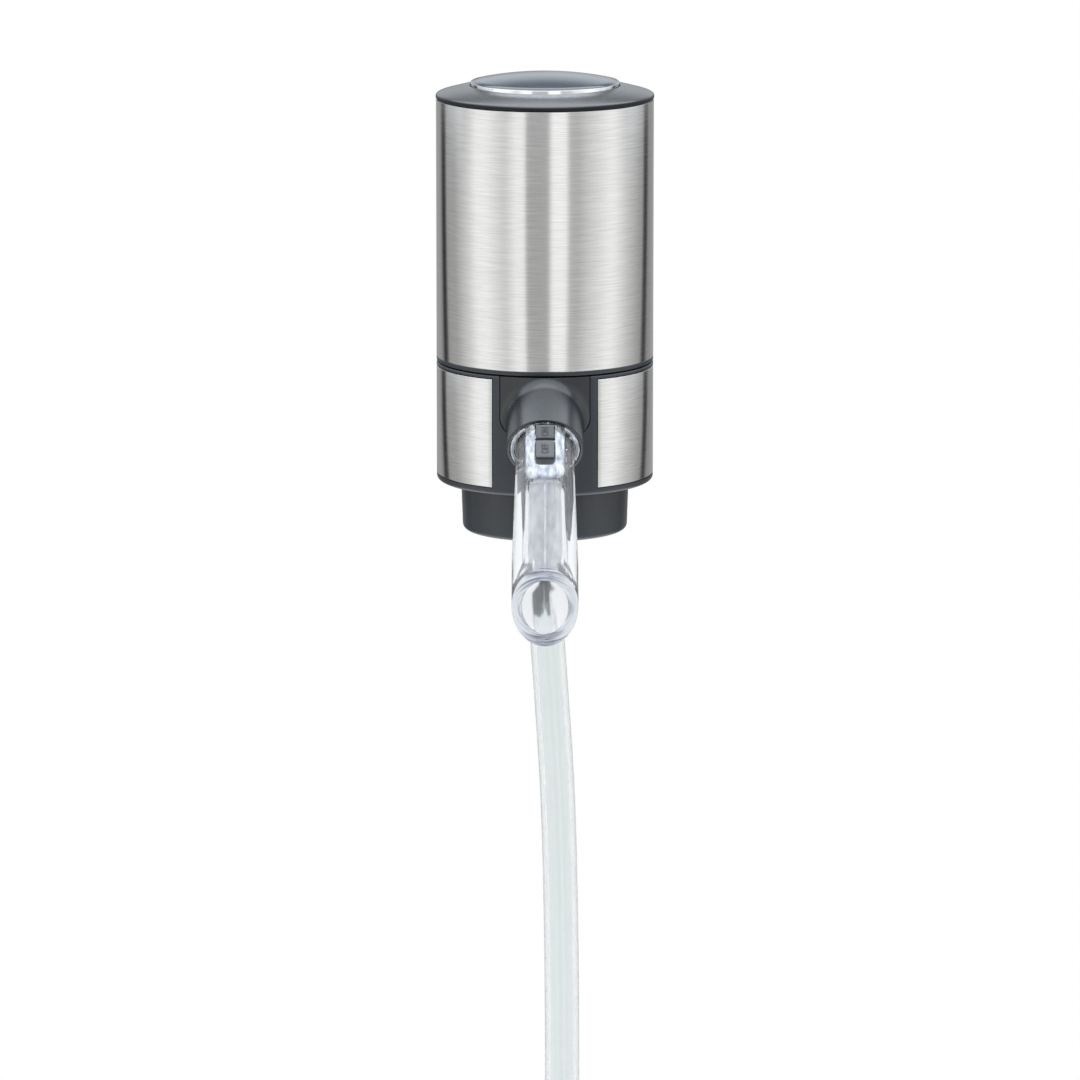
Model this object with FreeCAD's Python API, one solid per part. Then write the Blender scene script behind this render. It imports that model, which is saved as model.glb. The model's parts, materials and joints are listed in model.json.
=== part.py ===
# Electric wine dispenser: a battery air pump in a steel-clad barrel, plugged into a bottle's mouth.
# Air goes down beside the nozzle, and wine comes up the tube, over the bend and out of the spout.
# Millimetres. The origin is the centre of the bottle lip's seat, +Z is up, the spout points to -Y.

import FreeCAD, Part
import math
import os

V = FreeCAD.Vector

# Tools that cut run this far past the material, and joined bodies sink this far into each other.
past = 1.0
sunk = 0.1

# A quarter round's middle lies this far from its square corner, per radius.
corner_share = 1 - math.sqrt(0.5)

# Walls of the barrel and the base
sleeve_wall = 0.5
liner_wall = 1.6
base_wall = 2.0
band_wall = 0.5
core_gap = 0.35

# Heights of the base and the cover
base_bottom = -6.0
base_floor = 2.0
base_edge_round = 1.3
band_margin_low = 2.0
band_margin_high = 1.0
base_top = 25.0
seam_gap = 0.35
lip_height = 1.15
cap_gap = 0.3
seam_bevel = 0.2

# Top cap
cap_proud = 0.1
cap_rim = 0.5
cap_edge_run = 1.5
cap_edge_drop = 0.85
cap_edge_mid_in = 0.3
cap_edge_mid_up = 0.6
shoulder_rise = 1.85
well_r = 19.35
well_depth = 2.6
well_floor = 1.3
well_wall = 1.85
cap_flange_wall = 1.6
cap_screw_inset = 4.0

# Power button
button_gap = 0.25
trim_wall = 0.5
trim_proud = 0.9
trim_sunk = 1.0
button_plate = 1.5
dome_rise = 2.0
button_stem_r = 2.0
stem_gap = 0.15
guide_wall = 1.25
guide_rise = 1.1
stem_above_cap = 0.6
stem_rest_gap = 1.0
leg_ring = 14.0
leg_width = 3.0
leg_thick = 1.2
leg_gap = 0.3
hook_reach = 0.6
hook_height = 0.7
leg_angles = [90, 210, 330]
spring_r = 7.0
spring_wire = 0.5
spring_turns = 3
spring_pocket_r = 8.2
spring_pocket_roof = 1.5

# Front insert, boss and spout socket
insert_half = 11.4
insert_straight_low = 14.9
insert_corner_low = 10.4
insert_corner_half = 9.0
insert_corner_out = 0.79
insert_corner_up = 0.42
insert_seam = 0.22
insert_lip = 1.1
insert_lip_reach = 2.2
insert_lip_low = 15.0
insert_lip_drop = 0.5
boss_wall = 0.65
boss_fall = 30.0
boss_reach = 8.0
rim_z = 8.0
boss_blend = 4.5
rim_round = 0.4
flange_side_gap = 0.25
flange_seat_gap = 0.3
stub_side_gap = 0.3
socket_wall = 1.0
stub_end_gap = 0.1
socket_floor = 2.5
wine_bore_r = 1.8
seal_thick = 1.0

# Steel band round the base
band_half_angle = 29.0
band_edge_gap = 0.25

# Spout
flange_r = 8.8
flange_proud = 0.4
flange_depth = 2.3
flange_lip = 0.9
flange_recess = 1.6
stub_r = 6.3
stub_length = 10.1
ring_side_gap = 0.1
ring_groove_spare = 0.5
ring_groove_place = 5.4
ring_section = 0.65
bend_out = 1.5
pipe_fall = 60.0
pipe_length = 41.7
pipe_top_r = 7.35
pipe_end_r = 8.45
pipe_full_r_at = 30.0
mouth_cut_fall = 18.5
channel_r = 2.0
bore_start = 8.0
bore_dome = 1.5
bore_r = 3.5
bore_low_r = 3.8
bore_flare_from = 30.0
bore_flare_to = 36.0
bore_mouth_r = 5.85

# Switch on the spout
block_face = 7.7
block_half = 5.0
block_low = 9.5
block_corner = 2.5
slot_half = 2.55
slot_high = -5.3
slot_low = 5.8
slot_corner = 1.2
slot_floor_at = 3.1
rocker_gap = 0.2
rocker_end_gap = 0.4
rocker_low = 4.1
rocker_clear = 1.1
rocker_tilt = 10.0
rocker_groove = 0.3
rocker_pin_r = 0.6
rocker_pin_sunk = 0.5
rocker_pin_at = -0.95
rocker_pin_depth = 5.4
running_gap = 0.05
vent_pad_r = 1.2
vent_pad_at = -3.0
vent_pad_gap = 0.1
vent_hole_r = 0.5

# Bottle collar, plug and tube nozzle
collar_low = -19.0
collar_top_r = 21.7
collar_low_r = 21.3
collar_round = 1.4
collar_wall = 2.0
collar_mouth_r = 15.3
collar_inner_wall = 1.6
collar_plate = 2.0
floor_hole_gap = 0.3
collar_boss_r = 1.9
collar_screw_angles = [90, 210, 330]
plug_r = 9.5
plug_groove = 0.6
plug_land = 3.0
plug_rib = 2.0
plug_ribs = 3
lip_seal_gap = 0.2
lip_seal_thick = 1.0
plug_nose = -22.0
plug_nose_r = 7.5
nozzle_r = 4.8
nozzle_flange_r = 7.0
nozzle_flange = 2.0
nozzle_neck = 2.0
barb_r = 3.0
barb_length = 12.0
nut_flats = 13.0
nut_height = 1.6
air_bore_r = 0.9
air_bore_out = 3.4

# Wine tube
tube_r = 4.5
bend_share = 0.45
tube_path = [
    (0.0, 0.0, -26.0),
    (0.0, 0.0, -40.0),
    (1.9, 0.3, -66.0),
    (3.6, 0.5, -93.0),
    (4.5, 0.7, -136.0),
    (4.6, 0.9, -184.0),
    (4.4, 1.0, -232.0),
    (4.7, 0.8, -276.0),
]

# Flow manifold and air line
manifold_r = 5.8
manifold_plate = 2.0
elbow_r = 2.8
elbow_bend = 13.0
elbow_flange_r = 4.6
elbow_flange = 1.5
air_line_y = 8.0
nipple_r = 1.5
nipple_bore_r = 0.8
cross_bore_r = 0.7
hose_r = 2.6
valve_r = 3.4
valve_height = 5.0
manifold_nipple = 2.4
valve_nipple = 2.9
pump_nipple = 2.0

# Deck and posts
deck_thick = 2.0
post_inset = 3.2
post_r = 2.2
screw_r = 0.9
screw_head_r = 1.75
screw_head = 1.3
screw_length = 8.0
core_screw_bite = 3.0

# Batteries and their holder
cell_r = 5.25
cell_length = 43.7
nub_r = 1.9
nub_height = 0.8
cell_inset = 0.8
holder_wall = 1.35
cell_count = 6
first_cell_angle = 30
cell_gap = 0.1
contact_plate = 0.4
contact_r = 3.8
contact_strap = 4.0
contact_spring = 3.0
contact_spring_r = 3.2
contact_spring_wall = 0.5
holder_foot_floor = 0.5
holder_head = 2.4
holder_bore_gap = 0.3
lead_r = 0.6
lead_inset = 3.55
lead_spread = 1.8
lead_angle = 0
lead_channel_gap = 0.2

# Pump and motor
pump_r = 12.5
pump_wall = 1.7
head_height = 5.0
head_cover_floor = 0.4
valve_plate_height = 2.0
diaphragm_height = 2.5
pump_body_height = 13.5
case_screw_inset = 1.1
case_screw_r = 0.6
case_screw_angles = [30, 150, 270]
case_screw_sunk = 0.4
case_screw_tip = 1.0
port_ring = 5.5
port_r = 1.0
port_angles = [90, 210, 330]
flap_r = 2.0
flap_thick = 0.5
sheet_thick = 1.0
cup_r = 3.4
motor_r = 12.2
motor_length = 30.8
can_wall = 0.7
end_cap_height = 2.2
magnet_thick = 2.2
magnet_span = 140.0
magnet_rise = 4.0
armature_rise = 5.0
armature_gap = 0.5
armature_length = 19.0
armature_hub_r = 3.0
armature_slot = 1.6
armature_slot_angles = [0, 120, 240]
commutator_r = 2.8
commutator_height = 4.0
shaft_r = 1.0
shaft_end_gap = 0.3
bush_r = 2.6
bush_length = 2.0
bush_nose = 0.6
motor_lead_x = 5.0
eccentric_r = 6.0
eccentric_height = 5.0
eccentric_rise = 2.6
eccentric_floor = 2.0
crank_offset = 2.5
crank_r = 0.8
crank_gap = 0.3
wobble_r = 8.0
wobble_height = 1.7
wobble_hub_r = 1.4
wobble_hub = 0.8

# Circuit board and tact switch
board_inset = 2.05
board_thick = 1.6
pillar_r = 2.2
pillar_inset = 3.0
pillar_height = 7.2
pillar_angles = [60, 180, 300]
board_screw_length = 5.0
tact_width = 6.0
tact_height = 3.5
tact_stem_r = 1.7
tact_stem_sunk = 0.6
tact_stem_proud = 0.9

# Parts on the board: blocks as left, right, front, back and height, and one hanging can
board_blocks = [
    (6.0, 11.0, -2.5, 2.5, 1.4),
    (-11.0, -7.5, -2.0, 2.0, 1.2),
    (-2.0, 1.2, 9.0, 10.6, 0.6),
]
capacitor_r = 2.5
capacitor_height = 4.0
capacitor_x = -14.5
capacitor_y = 6.0

# Diameters that follow, from the pump outwards
holder_bore_r = max(pump_r, motor_r) + holder_bore_gap
cell_ring = holder_bore_r + holder_wall + cell_gap + cell_r
core_r = cell_ring + cell_r + cell_inset
liner_in = core_r + core_gap
body_r = liner_in + liner_wall + sleeve_wall
base_in = body_r - base_wall
cap_r = body_r + cap_proud
cap_screw_ring = body_r - cap_screw_inset
post_ring = base_in - post_inset
lead_ring = core_r - lead_inset
board_r = core_r - board_inset
pillar_ring = board_r - pillar_inset
case_screw_ring = pump_r - case_screw_inset
collar_screw_ring = collar_mouth_r + collar_inner_wall + collar_boss_r
lip_seal_r = collar_mouth_r - lip_seal_gap
trim_r = well_r - button_gap
button_r = trim_r - trim_wall

# The spout's seat and its rocker
rim_y = -body_r - boss_reach
mouth_r = flange_r + flange_side_gap
boss_r = mouth_r + boss_wall
mouth_depth = flange_depth + flange_seat_gap
socket_r = stub_r + stub_side_gap
socket_depth = flange_depth + stub_length + stub_end_gap + seal_thick
ring_groove_r = socket_r - ring_side_gap - 2 * ring_section
ring_groove_width = 2 * ring_section + ring_groove_spare
rocker_half = slot_half - rocker_gap
rocker_high = slot_high + rocker_end_gap
rocker_under = slot_floor_at + rocker_clear
rocker_corner = slot_corner - rocker_gap / 2
rocker_pin_half = block_half - rocker_pin_sunk

# Heights that follow, from the bottle's lip upwards
floor_top = base_bottom + base_floor
band_low = base_bottom + band_margin_low
band_high = base_top - band_margin_high
lip_low = base_top + seam_gap
sleeve_low = lip_low + lip_height
deck_top = base_top
deck_low = deck_top - deck_thick
insert_lip_high = deck_low - insert_lip_drop
head_cover = core_screw_bite + head_cover_floor
head_top = deck_top + head_height
plate_top = head_top + valve_plate_height
sheet_top = plate_top + sheet_thick
diaphragm_top = plate_top + diaphragm_height
motor_low = diaphragm_top + pump_body_height
wobble_top = diaphragm_top + wobble_height
eccentric_low = wobble_top + eccentric_rise
motor_high = motor_low + motor_length
end_cap_top = motor_high + end_cap_height
holder_foot = core_screw_bite + holder_foot_floor
cell_floor = deck_top + holder_foot
cell_bay = 2 * contact_plate + contact_spring + cell_length + nub_height
holder_top = cell_floor + cell_bay + holder_head
board_low = holder_top + pillar_height
board_top = board_low + board_thick
tact_top = board_top + tact_height
tact_stem_top = tact_top + tact_stem_proud
stem_low = tact_stem_top + stem_rest_gap
cap_under = stem_low - stem_above_cap
well_bottom = cap_under + well_floor
cap_top = well_bottom + well_depth
shoulder_low = cap_top - shoulder_rise
cap_edge = shoulder_low - cap_edge_drop
cap_low = cap_edge - cap_rim
sleeve_high = cap_low - cap_gap
button_edge = cap_top + trim_proud
button_under = cap_top - trim_sunk + button_plate / 2
pocket_roof = button_edge + dome_rise - spring_pocket_roof - spring_pocket_r ** 2 * dome_rise / button_r ** 2
plate_under = lip_seal_thick
plate_over = plate_under + collar_plate
nozzle_top = plate_over + nut_height
elbow_low = nozzle_top + manifold_plate
flange_low = plug_nose - nozzle_flange
neck_low = flange_low - nozzle_neck
post_angles = [45, 135, 225, 315]
holder_screw_angles = [0, 120, 240]
pump_screw_x = [-9.0, 9.0]


# Building blocks

def rod(radius, low, high, x=0.0, y=0.0):
    return Part.makeCylinder(radius, high - low, V(x, y, low))


def ring(outer, inner, low, high, x=0.0, y=0.0):
    return rod(outer, low, high, x, y).cut(rod(inner, low - past, high + past, x, y))


def taper(low_r, high_r, low, high, x=0.0, y=0.0):
    return Part.makeCone(low_r, high_r, high - low, V(x, y, low))


def box(x_low, x_high, y_low, y_high, z_low, z_high):
    return Part.makeBox(x_high - x_low, y_high - y_low, z_high - z_low, V(x_low, y_low, z_low))


def wire_of(steps):
    # Each step is a point, or a pair of points for an arc that passes the first and ends at the second.
    edges = []
    here = steps[0]
    for step in list(steps[1:]) + [steps[0]]:
        if isinstance(step, tuple):
            edges.append(Part.Arc(here, step[0], step[1]).toShape())
            here = step[1]
        elif here.distanceToPoint(step) > 1e-9:
            edges.append(Part.LineSegment(here, step).toShape())
            here = step
    return Part.Wire(edges)


def turned(steps):
    # A closed outline of (radius, height) points in the XZ plane, turned about Z.
    face = Part.Face(wire_of(steps))
    return face.revolve(V(0, 0, 0), V(0, 0, 1), 360)


def at(radius, height):
    return V(radius, 0, height)


def spun(shape, angle):
    copy = shape.copy()
    copy.rotate(V(0, 0, 0), V(0, 0, 1), angle)
    return copy


def polar(radius, angle):
    return radius * math.cos(math.radians(angle)), radius * math.sin(math.radians(angle))


def fused(shapes):
    whole = shapes[0]
    for shape in shapes[1:]:
        whole = whole.fuse(shape)
    return whole.removeSplitter()


def bored(shape, tools):
    for tool in tools:
        shape = shape.cut(tool)
    return shape


def aimed(shape, fall, origin):
    # The shape's own +Z turns to point towards -Y, fall degrees below the horizontal.
    copy = shape.copy()
    copy.rotate(V(0, 0, 0), V(1, 0, 0), 90 + fall)
    copy.translate(origin)
    return copy


def heading(fall):
    return V(0, -math.cos(math.radians(fall)), -math.sin(math.radians(fall)))


rim = V(0, rim_y, rim_z)
bend = rim + heading(boss_fall) * bend_out
mouth = bend + heading(pipe_fall) * pipe_length


def on_boss(shape):
    return aimed(shape, boss_fall, rim)


def on_pipe(shape):
    return aimed(shape, pipe_fall, bend)


def save(name, shape):
    shape.exportStep("parts/" + name + ".step")


def screw(head_at, down=True):
    # A pan-head screw along Z: the head's seat is at the origin.
    head = rod(screw_head_r, 0, screw_head)
    shank = rod(screw_r, -head_at, 0)
    whole = head.fuse(shank)
    if not down:
        whole.rotate(V(0, 0, 0), V(1, 0, 0), 180)
    return whole


def moved(shape, x, y, z):
    copy = shape.copy()
    copy.translate(V(x, y, z))
    return copy


# Cover: sleeve, liner, cap and button

def steel_sleeve():
    return ring(body_r, body_r - sleeve_wall, sleeve_low, sleeve_high)


def cover_liner():
    wall_r = body_r - sleeve_wall
    wall = turned([
        at(liner_in, lip_low),
        at(body_r - seam_bevel, lip_low),
        at(body_r, lip_low + seam_bevel),
        at(body_r, sleeve_low),
        at(wall_r, sleeve_low),
        at(wall_r, cap_low),
        at(liner_in, cap_low),
    ])
    flange = ring(wall_r, well_r + well_wall + core_gap, cap_low - cap_flange_wall, cap_low)
    holes = [spun(rod(screw_r, cap_low - 2 * cap_flange_wall, cap_low + past, cap_screw_ring), a)
             for a in post_angles]
    return bored(fused([wall, flange]), holes)


def top_cap():
    edge_mid = at(cap_r - cap_edge_mid_in * cap_edge_run, cap_edge + cap_edge_mid_up * cap_edge_drop)
    guide_in = button_stem_r + stem_gap
    guide_out = guide_in + guide_wall
    shell = turned([
        at(cap_r, cap_low),
        at(cap_r, cap_edge),
        (edge_mid, at(cap_r - cap_edge_run, shoulder_low)),
        at(well_r, cap_top),
        at(well_r, well_bottom),
        at(guide_out, well_bottom),
        at(guide_out, well_bottom + guide_rise),
        at(guide_in, well_bottom + guide_rise),
        at(guide_in, cap_under),
        at(well_r + well_wall, cap_under),
        at(well_r + well_wall, cap_low),
    ])
    slot = box(leg_ring - leg_thick - leg_gap, leg_ring + hook_reach + leg_gap,
               -leg_width / 2 - leg_gap, leg_width / 2 + leg_gap, cap_under - past, well_bottom + past)
    slots = [spun(slot, a) for a in leg_angles]
    holes = [spun(rod(screw_r, cap_low - past, cap_low + cap_flange_wall, cap_screw_ring), a)
             for a in post_angles]
    return bored(shell, slots + holes)


def cap_screws():
    one = screw(2 * cap_flange_wall, down=False)
    x_y = [polar(cap_screw_ring, a) for a in post_angles]
    return Part.makeCompound([moved(one, x, y, cap_low - cap_flange_wall) for x, y in x_y])


def dome_disc(radius, low, edge):
    dome_r = (radius ** 2 + dome_rise ** 2) / (2 * dome_rise)
    half = radius / 2
    half_z = edge + dome_rise - dome_r + math.sqrt(dome_r ** 2 - half ** 2)
    top = (at(half, half_z), at(0, edge + dome_rise))
    return turned([at(0, low), at(radius, low), at(radius, edge), top])


def power_button():
    disc = dome_disc(button_r, button_under, button_edge)
    disc = disc.cut(rod(spring_pocket_r, button_under - past, pocket_roof))
    stem = rod(button_stem_r, stem_low, pocket_roof + sunk)
    half = leg_width / 2
    hook_top = cap_under - leg_gap
    hook_low = hook_top - hook_height
    leg_in = leg_ring - leg_thick
    leg = box(leg_in, leg_ring, -half, half, hook_low - leg_gap, button_under + sunk)
    hook = box(leg_in, leg_ring + hook_reach, -half, half, hook_low, hook_top)
    legs = [spun(leg.fuse(hook), a) for a in leg_angles]
    return fused([disc, stem] + legs)


def button_trim():
    return ring(trim_r, button_r, cap_top - trim_sunk, button_edge)


def helix_tube(coil_r, wire_r, turns, low, high):
    # Quarter-turn arcs through points of the helix, swept with the wire's section.
    steps = 4 * turns
    rise = (high - low - 2 * wire_r) / steps

    def point(k):
        angle = math.pi / 2 * k
        return V(coil_r * math.cos(angle), coil_r * math.sin(angle), low + wire_r + rise * k)

    arcs = [Part.Arc(point(k), point(k + 0.5), point(k + 1)).toShape() for k in range(steps)]
    path = Part.Wire(arcs)
    section = Part.Wire(Part.makeCircle(wire_r, point(0), V(0, 1, 0)))
    pitch = 4 * rise
    gap = pitch - 2 * wire_r
    print("coil gap", round(gap, 3), "mm")
    return path.makePipeShell([section], True, False)


def button_spring():
    return helix_tube(spring_r, spring_wire / 2, spring_turns, well_bottom, pocket_roof)


# Front insert with the boss that takes the spout

def insert_outline(gap):
    # The insert's outline seen from the front, as a prism through the front wall.
    top = base_top + past
    half = insert_half + gap
    low = insert_straight_low - gap
    corner_x = insert_corner_half + gap
    corner_z = insert_corner_low - gap
    mid_x = corner_x + insert_corner_out * (half - corner_x)
    mid_z = corner_z + insert_corner_up * (low - corner_z)
    back = -body_r / 2
    wire = wire_of([
        V(-half, back, top),
        V(half, back, top),
        V(half, back, low),
        (V(mid_x, back, mid_z), V(corner_x, back, corner_z)),
        V(-corner_x, back, corner_z),
        (V(-mid_x, back, mid_z), V(-half, back, low)),
    ])
    return Part.Face(wire).extrude(V(0, -body_r, 0))


def boss_cylinder(gap):
    return on_boss(rod(boss_r + gap, -socket_depth - socket_floor, 0))


def rounded_boss():
    k = rim_round * corner_share
    return on_boss(turned([
        at(0, -socket_depth - socket_floor),
        at(boss_r, -socket_depth - socket_floor),
        at(boss_r, -rim_round),
        (at(boss_r - k, -k), at(boss_r - rim_round, 0)),
        at(0, 0),
    ]))


def meeting_edges(shape, first_r, second_r):
    # The edges where two round faces of these radii meet.
    found = []
    for edge in shape.Edges:
        radii = sorted(getattr(face.Surface, "Radius", 0) for face in shape.ancestorsOfType(edge, Part.Face))
        if len(radii) == 2 and abs(radii[0] - first_r) < 1e-6 and abs(radii[1] - second_r) < 1e-6:
            found.append(edge)
    return found


def front_insert():
    # The boss blends into a whole cylinder first, and the insert is then cut out of both.
    drum = rod(body_r, base_bottom - body_r, base_top + body_r)
    blended = drum.fuse(rounded_boss()).removeSplitter()
    blended = blended.makeFillet(boss_blend, meeting_edges(blended, boss_r, body_r))
    blended = blended.cut(rod(base_in - insert_lip, base_bottom - 2 * body_r, base_top + 2 * body_r))
    below_top = rod(2 * body_r, base_bottom - body_r, base_top)
    face = blended.common(insert_outline(0)).common(below_top)
    boss = blended.common(boss_cylinder(0)).cut(rod(base_in, base_bottom - body_r, base_top + body_r))
    reach = insert_half + insert_lip_reach
    lips = ring(base_in - running_gap, base_in - insert_lip, insert_lip_low, insert_lip_high)
    lips = lips.common(box(-reach, reach, -body_r, 0, insert_lip_low, insert_lip_high))
    socket = on_boss(rod(socket_r + socket_wall, -socket_depth - socket_floor, -mouth_depth))
    mouth_hole = on_boss(rod(mouth_r, -mouth_depth, past))
    socket_hole = on_boss(rod(socket_r, -socket_depth, 0))
    wine_hole = on_boss(rod(wine_bore_r, -socket_depth - socket_floor - past, 0))
    return bored(fused([face, boss, lips, socket]), [mouth_hole, socket_hole, wine_hole])


# Base: shell, band, deck

def base_shell():
    k = base_edge_round * corner_share
    outline = turned([
        at(0, base_bottom),
        at(body_r - base_edge_round, base_bottom),
        (at(body_r - k, base_bottom + k), at(body_r, base_bottom + base_edge_round)),
        at(body_r, base_top - seam_bevel),
        at(body_r - seam_bevel, base_top),
        at(base_in, base_top),
        at(base_in, floor_top),
        at(0, floor_top),
    ])
    wall_r = collar_mouth_r + collar_inner_wall + floor_hole_gap
    floor_hole = rod(wall_r, base_bottom - past, floor_top + past)
    recess = ring(body_r + past, body_r - band_wall, band_low - band_edge_gap, band_high + band_edge_gap)
    edge_gap_angle = math.degrees(band_edge_gap / body_r)
    recess = recess.cut(front_wedge(band_half_angle - edge_gap_angle))
    posts = [rod(post_r, floor_top - sunk, deck_low, *polar(post_ring, a)) for a in post_angles]
    shell = fused([outline] + posts)
    pilots = [rod(screw_r, deck_low - screw_length, deck_low + past, *polar(post_ring, a))
              for a in post_angles]
    collar_pilots = [rod(screw_r, base_bottom - past, floor_top + past, *polar(collar_screw_ring, a))
                     for a in collar_screw_angles]
    opening = [insert_outline(insert_seam), boss_cylinder(insert_seam)]
    return bored(shell, [floor_hole, recess] + opening + pilots + collar_pilots)


def front_wedge(half_angle):
    # The wedge about -Y that the steel band leaves free, seen from above.
    reach = 2 * body_r
    half = reach * math.tan(math.radians(half_angle))
    low = base_bottom - base_floor
    wire = wire_of([V(-half, -reach, low), V(half, -reach, low), V(0, 0, low)])
    return Part.Face(wire).extrude(V(0, 0, base_top + 2 * base_floor - low))


def base_band():
    return ring(body_r, body_r - band_wall, band_low, band_high).cut(front_wedge(band_half_angle))


def base_deck():
    plate = rod(base_in - core_gap, deck_low, deck_top)
    front = insert_outline(core_gap)
    air_hole = rod(hose_r, deck_low - past, deck_top + past, 0, air_line_y)
    deck_holes = [rod(screw_r, deck_low - past, deck_top + past, *polar(post_ring, a)) for a in post_angles]
    sinks = [taper(screw_r, screw_head_r, deck_top - screw_head, deck_top, *polar(post_ring, a))
             for a in post_angles]
    core_holes = [rod(screw_r, deck_low - past, deck_top + past, x, y) for x, y in core_screw_places()]
    return bored(plate, [front, air_hole] + deck_holes + sinks + core_holes)


def core_screw_places():
    places = [polar(cell_ring, a) for a in holder_screw_angles]
    return places + [(x, 0.0) for x in pump_screw_x]


def deck_screws():
    screws = []
    for angle in post_angles:
        x, y = polar(post_ring, angle)
        head = taper(screw_r, screw_head_r, deck_top - screw_head, deck_top, x, y)
        shank = rod(screw_r, deck_low - screw_length, deck_top - screw_head, x, y)
        screws.append(head.fuse(shank))
    return Part.makeCompound(screws)


def base_screws():
    long = screw(screw_length)
    short = screw(deck_thick + core_screw_bite, down=False)
    screws = [moved(long, *polar(collar_screw_ring, a), floor_top) for a in collar_screw_angles]
    screws += [moved(short, x, y, deck_low) for x, y in core_screw_places()]
    return Part.makeCompound(screws)


# Bottle collar, plug, nozzle and tube

def bottle_collar():
    inner_out = collar_mouth_r + collar_inner_wall
    k = collar_round * corner_share
    shell = turned([
        at(collar_mouth_r, collar_low),
        at(collar_low_r - collar_round, collar_low),
        (at(collar_low_r - k, collar_low + k), at(collar_low_r, collar_low + collar_round)),
        at(collar_top_r, base_bottom),
        at(collar_top_r - collar_wall, base_bottom),
        at(collar_low_r - collar_wall, collar_low + collar_wall),
        at(inner_out, collar_low + collar_wall),
        at(inner_out, plate_over),
        at(nozzle_r, plate_over),
        at(nozzle_r, plate_under),
        at(collar_mouth_r, plate_under),
    ])
    bosses = [rod(collar_boss_r, collar_low + collar_wall / 2, base_bottom, *polar(collar_screw_ring, a))
              for a in collar_screw_angles]
    pilots = [rod(screw_r, floor_top - screw_length, base_bottom + past, *polar(collar_screw_ring, a))
              for a in collar_screw_angles]
    inside = rod(collar_mouth_r, collar_low - past, plate_under)
    return bored(fused([shell] + bosses), [inside] + pilots)


def bottle_plug():
    groove_r = plug_r - plug_groove
    steps = [at(nozzle_r, 0), at(nozzle_r, plug_nose), at(plug_nose_r, plug_nose)]
    pitch = plug_rib * 2
    lowest = -plug_land - plug_ribs * pitch
    steps += [at(groove_r, lowest)]
    for k in reversed(range(plug_ribs)):
        rib_low = -plug_land - pitch * (k + 1)
        steps += [at(plug_r, rib_low), at(plug_r, rib_low + plug_rib)]
        steps += [at(groove_r, rib_low + plug_rib), at(groove_r, rib_low + pitch)]
    steps += [at(plug_r, -plug_land), at(plug_r, 0)]
    return turned(steps)


def lip_seal():
    return ring(lip_seal_r, nozzle_r, 0, plate_under)


def tube_nozzle():
    body = fused([
        rod(barb_r, neck_low - barb_length, flange_low),
        rod(nozzle_flange_r, flange_low, plug_nose),
        rod(nozzle_r, plug_nose, nozzle_top),
    ])
    wine = rod(wine_bore_r, neck_low - barb_length - past, nozzle_top + past)
    air = rod(air_bore_r, flange_low - past, nozzle_top + past, 0, air_bore_out)
    return bored(body, [wine, air])


def nozzle_nut():
    corner = nut_flats / math.sqrt(3)
    points = [V(*polar(corner, 60 * k), plate_over) for k in range(6)]
    blank = Part.Face(wire_of(points)).extrude(V(0, 0, nut_height))
    return blank.cut(rod(nozzle_r, plate_over - past, nozzle_top + past))


def rounded_path(points):
    # Straight runs joined by tangent arcs, each as large as its two runs allow.
    edges = []
    radii = []
    here = points[0]
    for before, corner, after in zip(points, points[1:], points[2:]):
        to_before = (before - corner).normalize()
        to_after = (after - corner).normalize()
        turn = math.pi - to_before.getAngle(to_after)
        reach = bend_share * min(corner.distanceToPoint(before), corner.distanceToPoint(after))
        radius = reach / math.tan(turn / 2)
        centre_line = (to_before + to_after).normalize()
        middle = corner + centre_line * (radius / math.cos(turn / 2) - radius)
        start = corner + to_before * reach
        end = corner + to_after * reach
        edges.append(Part.LineSegment(here, start).toShape())
        edges.append(Part.Arc(start, middle, end).toShape())
        radii.append(radius)
        here = end
    edges.append(Part.LineSegment(here, points[-1]).toShape())
    return Part.Wire(edges), radii


def swept(path, radius, start, direction):
    section = Part.Wire(Part.makeCircle(radius, start, direction))
    return path.makePipeShell([section], True, False)


def wine_tube():
    points = [V(*p) for p in tube_path]
    path, radii = rounded_path(points)
    start = points[0]
    direction = points[1] - points[0]
    outer = swept(path, tube_r, start, direction)
    inner = swept(path, barb_r, start, direction)
    tube = outer.cut(inner)
    section = math.pi * (tube_r ** 2 - barb_r ** 2)
    print("tube radii", [round(r) for r in radii])
    print("tube length", round(path.Length, 2), "volume", round(tube.Volume, 1),
          "section by length", round(section * path.Length, 1))
    return tube


# Wine bend and air line inside the base

def elbow_path():
    turn = math.radians(90 + boss_fall)
    along = (rim_y + elbow_bend * (1 - math.cos(turn))) / math.cos(math.radians(boss_fall))
    start_z = rim_z - along * math.sin(math.radians(boss_fall)) - elbow_bend * math.sin(turn)
    return start_z, turn, -along


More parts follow.
